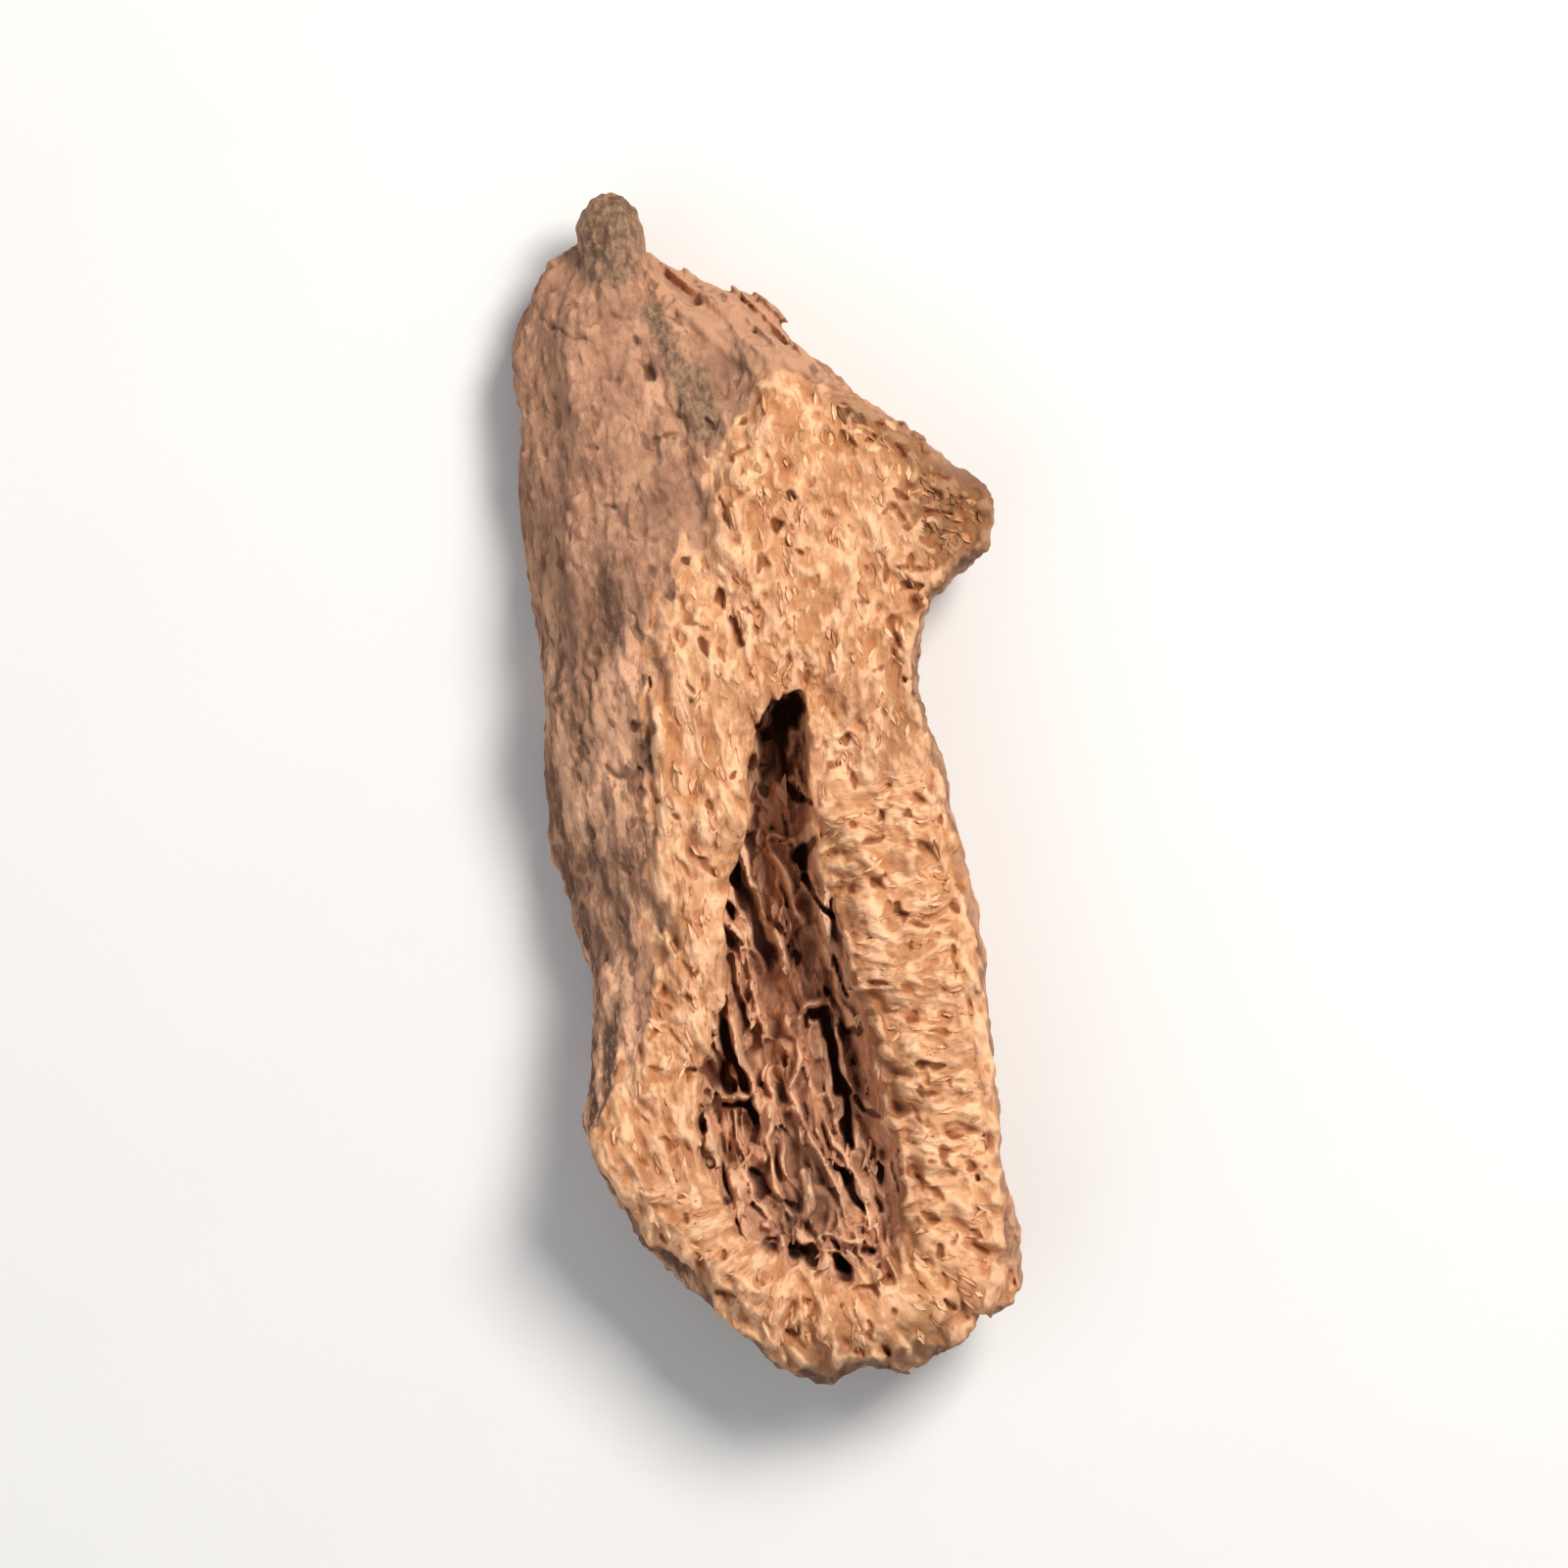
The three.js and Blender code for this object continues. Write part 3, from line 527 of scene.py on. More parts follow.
def grain(shape, cell, grain_size, seed):
    """Smooth random field of unit spread, with grains of the given size along each axis."""
    rng = np.random.default_rng(seed)
    steps = [cell / size for size in grain_size]
    knots = [int(count * step) + 5 for count, step in zip(shape, steps)]
    values = rng.uniform(-1, 1, knots).astype(np.float32)
    for axis, (count, step) in enumerate(zip(shape, steps)):
        drawn = np.tensordot(spline_matrix(count, knots[axis], step), values, axes=(1, axis))
        values = np.moveaxis(drawn, 0, axis)
    return values / values.std()


def noise_at(u, v, seed):
    """Smooth random field of unit spread over a plan, with about one grain to each whole step of u and v."""
    lattice = np.random.default_rng(seed).uniform(-1, 1, (PERIOD, PERIOD))
    base_u, base_v = np.floor(u).astype(int), np.floor(v).astype(int)
    weights_u, weights_v = spline_weights(u - base_u), spline_weights(v - base_v)
    total = np.zeros(u.shape)
    for i, weight_u in enumerate(weights_u):
        for j, weight_v in enumerate(weights_v):
            total += weight_u * weight_v * lattice[(base_u + i) % PERIOD, (base_v + j) % PERIOD]
    return total / total.std()


def waves(name, x, y, seed=0):
    """Smooth random waves over a plan."""
    return sum(
        height * noise_at(x / width, y / length, seed + own_seed)
        for height, width, length, own_seed in WAVES[name]
    )


def cells(u, v, seed):
    """Irregular cells over a plan: distance from their borders, and a number for and a slope across each."""
    rng = np.random.default_rng(seed)
    jitter = rng.uniform(0.1, 0.9, (PERIOD, PERIOD, 2))
    numbers = rng.random((PERIOD, PERIOD))
    slopes = rng.uniform(-1, 1, (PERIOD, PERIOD, 2))
    base_u, base_v = np.floor(u).astype(int), np.floor(v).astype(int)
    nearest = np.full(u.shape, 9.0)
    second = np.full(u.shape, 9.0)
    own = np.zeros(u.shape)
    slope = np.zeros(u.shape)
    for step_u in (-1, 0, 1):
        for step_v in (-1, 0, 1):
            spot = ((base_u + step_u) % PERIOD, (base_v + step_v) % PERIOD)
            away_u = base_u + step_u + jitter[spot][..., 0] - u
            away_v = base_v + step_v + jitter[spot][..., 1] - v
            away = np.hypot(away_u, away_v)
            closer = away < nearest
            second = np.where(closer, nearest, np.minimum(second, away))
            own = np.where(closer, numbers[spot], own)
            leaning = slopes[spot][..., 0] * away_u + slopes[spot][..., 1] * away_v
            slope = np.where(closer, leaning, slope)
            nearest = np.where(closer, away, nearest)
    return second - nearest, own, slope


def hump(x, y, place, reach):
    """Soft hump over a plan, one high at its place, that falls away over its reach."""
    return np.exp(-((x - place[0]) ** 2 + (y - place[1]) ** 2) / reach**2)


def curve_through(points, steps):
    """A closed smooth line through points, with so many steps between two of them."""
    knots = np.array(points) + CENTRING
    before, after, beyond = (np.roll(knots, shift, axis=0) for shift in (1, -1, -2))
    t = (np.arange(steps) / steps)[None, :, None]
    a, b, c, d = (rows[:, None, :] for rows in (before, knots, after, beyond))
    line = 0.5 * (2 * b + (c - a) * t + (2 * a - 5 * b + 4 * c - d) * t**2 + (3 * b - a - 3 * c + d) * t**3)
    return line.reshape(-1, 2)


def beside_stretch(x, y, start, end):
    """How far along a straight stretch the nearest place to each spot is, as a share, and how far away."""
    (ax, ay), (bx, by) = start, end
    length = (bx - ax) ** 2 + (by - ay) ** 2
    along = np.clip(((x - ax) * (bx - ax) + (y - ay) * (by - ay)) / length, 0, 1)
    return along, np.hypot(ax + along * (bx - ax) - x, ay + along * (by - ay) - y)


def beside(route, x, y):
    """How far spots lie beside a route of straight stretches, in millimetres."""
    points = np.array(route) + CENTRING
    away = np.full(x.shape, np.inf)
    for stretch in zip(points, points[1:]):
        away = np.minimum(away, beside_stretch(x, y, *stretch)[1])
    return away


def near(route, reach, x, y):
    """How near spots lie to a route, from nought beyond its reach to one well within it."""
    return smooth(reach * 1.5, reach * 0.6, beside(route, x, y))


def inside_distance(outline, x, y):
    """Distance from a closed outline, above nought inside it and below nought outside."""
    away = np.full(x.shape, np.inf)
    inside = np.zeros(x.shape, dtype=bool)
    for start, end in zip(outline, np.roll(outline, -1, axis=0)):
        away = np.minimum(away, beside_stretch(x, y, start, end)[1])
        (ax, ay), (bx, by) = start, end
        if ay != by:
            inside ^= ((ay > y) != (by > y)) & (x < ax + (y - ay) * (bx - ax) / (by - ay))
    return np.where(inside, away, -away)


def box_blur(field, reach, passes=3):
    """Softens a field by running means along each axis."""
    width = 2 * reach + 1
    for axis in list(range(field.ndim)) * passes:
        ends = [(0, 0)] * field.ndim
        ends[axis] = (reach + 1, reach)
        sums = np.cumsum(np.pad(field, ends, mode="edge"), axis=axis, dtype=np.float64)
        high = np.take(sums, np.arange(width, sums.shape[axis]), axis=axis)
        low = np.take(sums, np.arange(0, sums.shape[axis] - width), axis=axis)
        field = ((high - low) / width).astype(np.float32)
    return field


class SliceSettings(bpy.types.PropertyGroup):
    """Sizes and colours of the slice."""

    cell_size: FloatProperty(
        name="Sculpting cell", description="Edge of the cells that the surface is sculpted in",
        default=0.00010, min=0.00005, precision=5, subtype="DISTANCE", unit="LENGTH",
    )
    body_faces: IntProperty(
        name="Triangles", description="Most triangles that the sculpted slice keeps", default=500000,
    )
    flakes: IntProperty(name="Face flakes", description="Torn flakes on the cut face", default=480)
    shreds: IntProperty(name="Heart shreds", description="Torn shreds in the hollow", default=40)
    frays: IntProperty(name="Frayed flakes", description="Flakes on the frayed lobe", default=45)
    fold_height: FloatProperty(
        name="Shoulder folds", description="How far the slanting folds of the bark's shoulder stand out",
        default=0.0003, precision=5, subtype="DISTANCE", unit="LENGTH",
    )
    wrinkle_height: FloatProperty(
        name="Bark wrinkles", description="How far the bark's wrinkles stand out",
        default=0.00009, precision=5, subtype="DISTANCE", unit="LENGTH",
    )
    lamella_height: FloatProperty(
        name="Rim lamellae", description="How far the lamellae of the lower right rim stand out",
        default=0.0002, precision=5, subtype="DISTANCE", unit="LENGTH",
    )
    fibre_height: FloatProperty(
        name="Strands", description="How far the strands of the left strip stand out",
        default=0.00022, precision=5, subtype="DISTANCE", unit="LENGTH",
    )
    mat_height: FloatProperty(
        name="Matted face", description="How far the matted tissue of the upper face stands out",
        default=0.00017, precision=5, subtype="DISTANCE", unit="LENGTH",
    )
    fray_height: FloatProperty(
        name="Frayed edge", description="How far the flakes of the frayed upper right edge stand out",
        default=0.0003, precision=5, subtype="DISTANCE", unit="LENGTH",
    )
    heart_height: FloatProperty(
        name="Heart cells", description="How far the walls of the heart's cells stand over their floors",
        default=0.0005, precision=5, subtype="DISTANCE", unit="LENGTH",
    )
    wood_colour: FloatVectorProperty(
        name="Cut face", description="Colour of the cut face", subtype="COLOR", size=3,
        default=(0.545, 0.242, 0.102),
    )
    wood_pale: FloatVectorProperty(
        name="Pale fibres", description="Colour of the fibres that stand out of the cut face",
        subtype="COLOR", size=3, default=(0.8, 0.47, 0.27),
    )
    wood_rust: FloatVectorProperty(
        name="Rusty marks", description="Colour of the shallow marks in the cut face",
        subtype="COLOR", size=3,
        default=(0.34, 0.112, 0.036),
    )
    # Painted shade deep in the cut face's creases, slots and cracks
    wood_painted_shade: FloatVectorProperty(
        name="Cracks", description="Colour deep in the cracks of the cut face", subtype="COLOR", size=3,
        default=(0.2, 0.072, 0.028),
    )
    bark_colour: FloatVectorProperty(
        name="Bark", description="Colour of the bark", subtype="COLOR", size=3, default=(0.4, 0.195, 0.115),
    )
    bark_pale: FloatVectorProperty(
        name="Worn bark", description="Colour of the bark's wrinkles where they are rubbed",
        subtype="COLOR", size=3, default=(0.62, 0.34, 0.2),
    )
    # Dark specks of the bark, and painted shade in its pits and furrows
    bark_specks_and_shade: FloatVectorProperty(
        name="Bark furrows", description="Colour in the bark's furrows", subtype="COLOR", size=3,
        default=(0.13, 0.058, 0.032),
    )
    heart_colour: FloatVectorProperty(
        name="Heart tissue", description="Colour of the shrunken heart tissue", subtype="COLOR", size=3,
        default=(0.53, 0.25, 0.137),
    )
    heart_pale: FloatVectorProperty(
        name="Heart edges", description="Colour of the torn edges of the heart tissue",
        subtype="COLOR", size=3, default=(0.76, 0.46, 0.28),
    )
    # Painted shade in the heart's creases and near black in its gaps
    heart_painted_shade: FloatVectorProperty(
        name="Heart gaps", description="Colour deep in the heart's gaps", subtype="COLOR", size=3,
        default=(0.05, 0.018, 0.011),
    )
    olive_colour: FloatVectorProperty(
        name="Olive patch", description="Colour of the bud and of the patch beside the furrow",
        subtype="COLOR", size=3, default=(0.2, 0.118, 0.07),
    )


# Places on the slice


def axis_beside(own_y):
    """Spots on the hollow's axis at the heights of others."""
    (low_x, low_y), (high_x, high_y) = HEART_AXIS
    along = np.clip((own_y - low_y) / (high_y - low_y), 0, 1)
    return low_x + (high_x - low_x) * along, low_y + (high_y - low_y) * along


class Lie:
    """Where every column of a block lies on the slice, seen from above."""

    def __init__(self, block):
        self.x, self.y = block.plan()
        own_x = self.x - CENTRING[0]
        own_y = self.y - CENTRING[1]
        self.rim = inside_distance(curve_through(RIM, EDGE_STEPS), self.x, self.y)
        self.mouth = inside_distance(curve_through(MOUTH, EDGE_STEPS), self.x, self.y)
        self.face_end = inside_distance(curve_through(FACE_END, FINISH_STEPS), self.x, self.y)
        lobe = hump(own_x, own_y, LOBE_CENTRE, LOBE_SPREAD)
        self.face = FACE_HEIGHT + FACE_SLOPE[0] * own_x + FACE_SLOPE[1] * own_y - LOBE_DROP * lobe
        self.set_round(own_x, own_y)
        self.set_tissue(own_x, own_y)
        # Paler and darker places, with painted shade on the bark's left flank, the lower edge and the frayed
        # lobe
        self.shade = sum(change * hump(own_x, own_y, place, reach) for place, reach, change in SHADES)
        streaks = [near(route, reach, self.x, self.y) for *route, reach in OLIVE_STREAKS]
        self.olive = np.maximum.reduce(streaks)
        self.shoulder = near(SHOULDER, SHOULDER_REACH, self.x, self.y)
        edge = sets_in("worn edge of the hollow", self.mouth + waves("hollow edge", self.x, self.y))
        edge = edge * sets_in("worn edge down the root", own_y)
        self.edge = edge * sets_in("worn edge on the right", own_x)
        calm = mixed(1.0, CALM_BARK, sets_in("calm bark on the right", own_x))
        self.rough_bark = sets_in("rough bark down the root", own_y) * calm

    def set_tissue(self, own_x, own_y):
        """Where the cut face has lamellae that run outwards, strands that run down it, and frayed flakes."""
        radial = sets_in("lamellae down the root", own_y) * sets_in("lamellae on the right", own_x)
        radial = np.maximum(radial, sets_in("lamellae at the low end", own_y))
        self.radial = radial * sets_in("lamellae off the rim", self.rim)
        leaning = own_x + STRANDS_TURN * own_y
        self.left = sets_in("strands on the left", leaning) * sets_in("strands down the root", own_y)
        edge = sets_in("frayed rim", self.rim) * sets_in("frayed on the right", own_x)
        edge = edge * sets_in("frayed up the root", own_y)
        self.frayed = np.maximum(hump(own_x, own_y, FRAY_CENTRE, FRAY_SPREAD), edge)

    def set_round(self, own_x, own_y):
        """Length on round the hollow, up its right, round its lower end and up its left, and distance out."""
        axis_x, axis_y = axis_beside(own_y)
        low_y = HEART_AXIS[0][1]
        self.out = np.hypot(own_x - axis_x, own_y - axis_y)
        self.right_of_axis = own_x - axis_x
        turned = BEND_RADIUS * np.arctan2(axis_y - own_y, own_x - axis_x)
        on_left = own_x < axis_x
        straight = np.where(on_left, low_y - own_y - math.pi * BEND_RADIUS, own_y - low_y)
        self.round = np.where(own_y < low_y, -turned, straight)


# Relief of each part of the surface, in millimetres


def tissue(u, v, kind):
    """Relief of cut root tissue, with soft pads of a kind's size and slots between, and each pad's tone."""
    width, length, seed = kind
    u = u / width
    v = v / length
    pads = noise_at(u, v, seed)
    finer = noise_at(u * 1.9, v * 2.1, seed + 1)
    border, tone, slope = cells(u / 1.5, v / 1.1, seed + 2)
    fibrils = 1 - np.abs(noise_at(u * 3.1, v * 1.3, seed + 3))
    ragged = noise_at(u * 3.3, v * 4.5, seed + 4)
    slots = smooth(1.0, 1.9, -pads - 0.5 * finer)
    seams = smooth(0.12, 0.0, border)
    high = 0.42 * pads + 0.3 * finer + 0.22 * fibrils + 0.15 * ragged + 0.35 * (tone - 0.5) + 0.3 * slope
    return high - 0.2 * seams - 0.7 * slots, tone


def tapered(route, half, x, y):
    """How far spots lie beside a route, counted in half of its width, which shrinks towards both ends."""
    points = np.array(route) + CENTRING
    lengths = np.linalg.norm(np.diff(points, axis=0), axis=1)
    nearest = np.full(x.shape, np.inf)
    travelled = 0.0
    for start, end, length in zip(points, points[1:], lengths):
        along, away = beside_stretch(x, y, start, end)
        share = (travelled + along * length) / lengths.sum()
        nearest = np.minimum(nearest, away / (half * (MARK_END + MARK_SWELL * np.sin(math.pi * share))))
        travelled += length
    return nearest


def marked(marks, lie, seed):
    """How strongly a list of routes with half widths marks each column, from nought to one."""
    x = lie.x + waves("mark sideways", lie.x, lie.y, seed)
    y = lie.y + waves("mark lengthwise", lie.x, lie.y, seed)
    ragged = 1 + waves("mark edge", lie.x, lie.y, seed)
    strength = np.zeros(x.shape)
    for route, half in marks:
        share = smooth(1.8, 0.2, tapered(route, half, x, y) * ragged)
        strength = np.maximum(strength, share * min(1, half / FULL_MARK))
    return strength


def face_relief(lie, settings):
    """Relief of the cut face, the tone of each flake on it, and its slots and strands."""
    x, y = lie.x, lie.y
    sway_x = waves("face sideways", x, y)
    sway_y = waves("face lengthwise", x, y)
    shift = waves("face borders", x, y)
    frayed = np.clip(lie.frayed + shift, 0, 1)
    radial = np.clip(lie.radial + shift, 0, 1) * (1 - frayed)
    strand = np.clip(lie.left + shift, 0, 1) * (1 - radial) * (1 - frayed)
    matted = (1 - radial) * (1 - strand) * (1 - frayed)
    parts = (
        (radial, settings.lamella_height, tissue(lie.round + 1.4 * sway_y, lie.out + 1.4 * sway_x, LAMELLAE)),
        (strand, settings.fibre_height, tissue(x + STRANDS_LEAN * y + sway_x, y + sway_y, STRANDS)),
        (matted, settings.mat_height, tissue(x + MATTED_LEAN * y + sway_x, y + sway_y, MATTED)),
        (frayed, settings.fray_height, tissue(x + y + 2 * sway_x, y - x + 2 * sway_y, FRAYED)),
    )
    relief = sum(share * height / MM * part for share, height, (part, _) in parts)
    tone = sum(share * tones for share, _, (_, tones) in parts)
    relief += waves("face swell", x, y)
    holes = smooth(1.7, 2.3, noise_at(x / 0.3, y / 0.62, 18))
    holes = holes * smooth(0.2, 1.4, noise_at(x / 2.2, y / 3.1, 19))
    lip = sets_in("lip outwards", lie.rim) * sets_in("lip inwards", lie.rim) * (0.5 + waves("face lip", x, y))
    seams = 1 - np.abs(noise_at((x + SEAMS_LEAN * y + sway_x) / 0.36, (y + sway_y) / 2.4, 74))
    relief += SEAM_HEIGHT * lie.edge * (seams - 0.3)
    slots = marked(FACE_SLOTS, lie, 91)
    strands = marked(FACE_STRANDS, lie, 95)
    relief = relief - HOLE_DEPTH * holes + LIP_HEIGHT * lip - SLOT_DEPTH * slots + STRAND_HEIGHT * strands
    return relief, tone, slots, strands


def heart_relief(lie, settings):
    """Relief of the hollow's floor: torn strands along the root, gaps, and a few cells at its lower end."""
    x, y = lie.x, lie.y
    sway_x = waves("heart sideways", x, y)
    sway_y = waves("heart lengthwise", x, y)
    low_end = sets_in("cells at the hollow's low end", y + sway_y)
    lean = x + sway_x + SEAMS_LEAN * y
    curtains = smooth(0.3, 0.06, np.abs(noise_at(lean / 0.8, (y + sway_y) / 3.4, 54)))
    border, small_tone, small_slope = cells((x + 1.6 * sway_x) / 0.85 + 7, (y + 1.6 * sway_y) / 0.8, 55)
    _, long_tone, long_slope = cells(lean / 0.55, (y + sway_y) / 1.5, 58)
    torn = np.clip(0.75 + waves("wall height", x, y), 0.15, 1.4)
    walls = mixed(curtains, smooth(0.3, 0.08, border), low_end) * torn
    tone = mixed(long_tone, small_tone, low_end)
    slope = mixed(long_slope, small_slope, low_end)
    ribs = 1 - np.abs(noise_at(lean / 0.26, (y + sway_y) / 1.1, 56))
    relief = settings.heart_height / MM * (walls - 0.3 - 0.9 * (tone - 0.5) + 0.8 * slope + 0.5 * ribs)
    folds = np.zeros(x.shape)
    for route, half, rise in FOLDS:
        away = beside(route, x + sway_x, y + sway_y)
        folds = np.maximum(folds, rise * torn * smooth(half * 1.9, half * 0.5, away))
    gaps = np.zeros(x.shape)
    ragged = 1 + waves("gap edge", x, y)
    for route, half, drop in GAPS:
        away = beside(route, x + 0.7 * sway_x, y + 0.7 * sway_y)
        gaps = np.maximum(gaps, drop * smooth(half * 1.4, half * 0.6, away * ragged))
    relief = np.where(gaps > 0.05, np.minimum(relief, 0.1) - gaps, relief) + folds
    return relief + waves("heart grain", x, y), tone


def bark_relief(block, lie, settings):
    """Relief of the bark, with swellings, wrinkles, pits and the shoulder's folds, and its small share."""
    shape, cell = block.shape, block.cell
    broad = grain(shape, cell, (1.3, 3.2, 1.3), 61)
    wrinkles = 1 - np.abs(grain(shape, cell, (0.33, 1.5, 0.33), 62))
    fine = grain(shape, cell, (0.2, 0.34, 0.2), 63)
    knobs = grain(shape, cell, (0.5, 0.75, 0.5), 66)
    pits = smooth(2.3, 3.0, grain(shape, cell, (0.2, 0.34, 0.2), 64))
    height = settings.wrinkle_height / MM
    small = height * (0.45 * wrinkles + 0.6 * fine + 0.35 * knobs - 1.2 * pits - 0.15)
    across = math.cos(SHOULDER_SLANT) * lie.x + math.sin(SHOULDER_SLANT) * lie.y
    along = math.sin(SHOULDER_SLANT) * lie.x - math.cos(SHOULDER_SLANT) * lie.y
    folds = 1 - np.abs(noise_at(across / 0.36, along / 2.2, 65))
    shoulder = lie.shoulder * settings.fold_height / MM * (folds - 0.4)
    return small + height * 0.8 * broad + shoulder[:, :, None], small


# Sculpting


def mesh_arrays(mesh):
    """A mesh's corners in millimetres, their normals and its triangles."""
    points = np.empty(len(mesh.vertices) * 3, dtype=np.float32)
    mesh.vertices.foreach_get("co", points)
    normals = np.empty(len(mesh.vertices) * 3, dtype=np.float32)
    mesh.vertex_normals.foreach_get("vector", normals)
    mesh.calc_loop_triangles()
    triangles = np.empty(len(mesh.loop_triangles) * 3, dtype=np.int32)
    mesh.loop_triangles.foreach_get("vertices", triangles)
    return points.reshape(-1, 3) / MM, normals.reshape(-1, 3), triangles.reshape(-1, 3)


def new_mesh(name, points, groups, rounded=True):
    """A mesh from corners in millimetres and arrays of faces."""
    groups = [group for group in groups if len(group)]
    mesh = bpy.data.meshes.new(name)
    mesh.vertices.add(len(points))
    mesh.vertices.foreach_set("co", (np.asarray(points, dtype=np.float32) * MM).ravel())
    corners = np.concatenate([group.ravel() for group in groups]).astype(np.int32)
    sizes = np.concatenate([np.full(len(group), group.shape[1]) for group in groups])
    mesh.loops.add(len(corners))
    mesh.loops.foreach_set("vertex_index", corners)
    mesh.polygons.add(len(sizes))
    mesh.polygons.foreach_set("loop_start", np.concatenate([[0], np.cumsum(sizes)[:-1]]).astype(np.int32))
    mesh.polygons.foreach_set("use_smooth", np.full(len(sizes), rounded))
    mesh.update(calc_edges=True)
    mesh.validate()
    return mesh


def new_piece(name, mesh):
    piece = bpy.data.objects.new(name, mesh)
    bpy.context.scene.collection.objects.link(piece)
    return piece


def root_piece(name, mesh):
    """A piece of the slice, which takes the place of its solid and rides on it."""
    piece = new_piece(name, mesh)
    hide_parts(NODE)
    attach(piece, BODY)
    return piece


def thinned(mesh, most):
    """The same mesh with fewer triangles, most of them where it bends most."""
    faces = len(mesh.loops) - 2 * len(mesh.polygons)
    if faces <= most:
        return mesh
    piece = new_piece("heavy", mesh)
    piece.modifiers.new("thin", "DECIMATE").ratio = most / faces
    graph = bpy.context.evaluated_depsgraph_get()
    lighter = bpy.data.meshes.new_from_object(piece.evaluated_get(graph))
    bpy.data.objects.remove(piece)
    bpy.data.meshes.remove(mesh)
    return lighter


def largest_part(count, triangles):
    """Which corners belong to the largest connected part, so that loose crumbs can be dropped."""
    label = np.arange(count)
    while True:
        low = label[triangles].min(axis=1)
        updated = label.copy()
        for corner in range(3):
            np.minimum.at(updated, triangles[:, corner], low)
        updated = updated[updated]
        if np.array_equal(updated, label):
            break
        label = updated
    names, counts = np.unique(label, return_counts=True)
    return label == names[counts.argmax()]


class Sculpture:
    """The sculpted surface of the slice, with what its finish needs to know at each corner."""

    def __init__(self, settings):
        points, _, triangles = mesh_arrays(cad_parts[NODE].data)
        self.cell = settings.cell_size / MM
        self.block = Block(points.min(axis=0) - MARGIN, points.max(axis=0) + MARGIN, self.cell)
        self.lie = Lie(self.block)
        distance = self.softened_distance(points, triangles)
        sculpted = np.maximum(self.with_ledge(distance) - self.relief(settings), self.open_hollow())
        kept = np.maximum(distance, self.block.z - self.floor_height(distance)[:, :, None])
        self.distance = np.maximum(np.minimum(sculpted, kept), -self.block.z)
        mesh = thinned(self.surface(), settings.body_faces)
        self.points, self.normals, self.triangles = mesh_arrays(mesh)
        bpy.data.meshes.remove(mesh)
        whole = largest_part(len(self.points), self.triangles)
        self.triangles = self.triangles[whole[self.triangles[:, 0]]]
        self.facts = {name: self.block.sample(field, self.points) for name, field in self.fields.items()}

    def softened_distance(self, points, triangles):
        """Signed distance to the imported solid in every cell, softened until its facets are gone."""
        transform = openvdb.createLinearTransform(voxelSize=self.cell)
        grid = openvdb.FloatGrid.createLevelSetFromPolygons(
            points, triangles=triangles.astype(np.uint32), transform=transform, halfWidth=BAND / self.cell
        )
        distance = np.full(self.block.shape, BAND, dtype=np.float32)
        grid.copyToArray(distance, ijk=self.block.first_cell())
        return box_blur(distance, SOFTENING)

    def surface(self):
        """Mesh of the sculpted surface, where the distance to it is nought."""
        grid = openvdb.FloatGrid()
        grid.background = 1.0
        grid.copyFromArray(np.ascontiguousarray(self.distance), ijk=self.block.first_cell())
        grid.transform = openvdb.createLinearTransform(voxelSize=self.cell)
        corners, triangles, quads = grid.convertToPolygons(isovalue=0.0, adaptivity=0.0)
        return new_mesh("sculpted", corners, [quads, triangles])

    def floor_height(self, distance):
        """Height up to which the solid is kept under the hollow, over its uneven underside."""
        inside = distance < 0
        bottom = np.where(inside.any(axis=2), self.block.z[inside.argmax(axis=2)], 0)
        bottom = bottom * sets_in("floor under the hollow", self.lie.mouth)
        return np.maximum(PLATE, bottom + LEAST_FLOOR)

    def with_ledge(self, distance):
        """The same distance with the face's tissue running down into the right side of the hollow."""
        lie = self.lie
        inwards = np.maximum(lie.mouth + waves("ledge", lie.x, lie.y), 0)
        down = LEDGE_FALL * inwards + LEDGE_BEND * inwards**2
        away = sets_in("no ledge on the left", lie.right_of_axis) + sets_in("no ledge on the face", lie.mouth)
        top = lie.face - LEDGE_SINK - down - WELL_BELOW * away
        ledge = LEDGE_SHARE * (self.block.z - top[:, :, None])
        return np.minimum(distance, ledge.astype(np.float32))

    def open_hollow(self):
        """Distance to the upper part of the hollow's left side and tip, which nothing grows into."""
        lie = self.lie
        away = sets_in("no carving on the right", lie.right_of_axis - TIP_RIGHT)
        away = away + sets_in("no carving down the root", lie.y)
        away = away + sets_in("no carving in the middle", lie.mouth) * sets_in("middle below the tip", lie.y)
        side = lie.mouth + CARVE_OUT + waves("carving", lie.x, lie.y) - WELL_BELOW * away
        depth = CARVE_DEPTH + TIP_DEPTH * sets_in("deep tip", lie.y)
        deep = self.block.z - (lie.face - depth)[:, :, None]
        return np.minimum(side[:, :, None], deep).astype(np.float32)

    def bark_share(self, ragged, name):
        """How much each cell is bark, which sets in beyond the end of the cut face and down the flanks."""
        lie, z = self.lie, self.block.z
        share = sets_in(name, lie.face_end + ragged)[:, :, None]
        turned_down = LOW_END_DROP * sets_in("cut wood at the low end", lie.y)
        flank = sets_in("bark on the flank", z + (turned_down + FLANK_RAGGED * ragged - lie.face)[:, :, None])
        share = np.maximum(share, flank * sets_in("bark outside the hollow", lie.mouth)[:, :, None])
        return (share * sets_in("bark over the base", z)).astype(np.float32)

    def heart_share(self, ragged):
        """How much each cell is heart tissue, in the hollow and beneath the ring of wood."""
        lie, z = self.lie, self.block.z
        below = z - lie.face[:, :, None]
        well_in = np.maximum(
            sets_in("heart below the face", below), sets_in("heart in the middle", lie.mouth)[:, :, None]
        )
        in_mouth = sets_in("heart in the mouth", lie.mouth + ragged)[:, :, None] * well_in
        beneath = sets_in("heart under the face", below) * sets_in("heart off the rim", lie.rim)[:, :, None]
        return np.maximum(in_mouth, beneath).astype(np.float32) * sets_in("heart over the base", z)

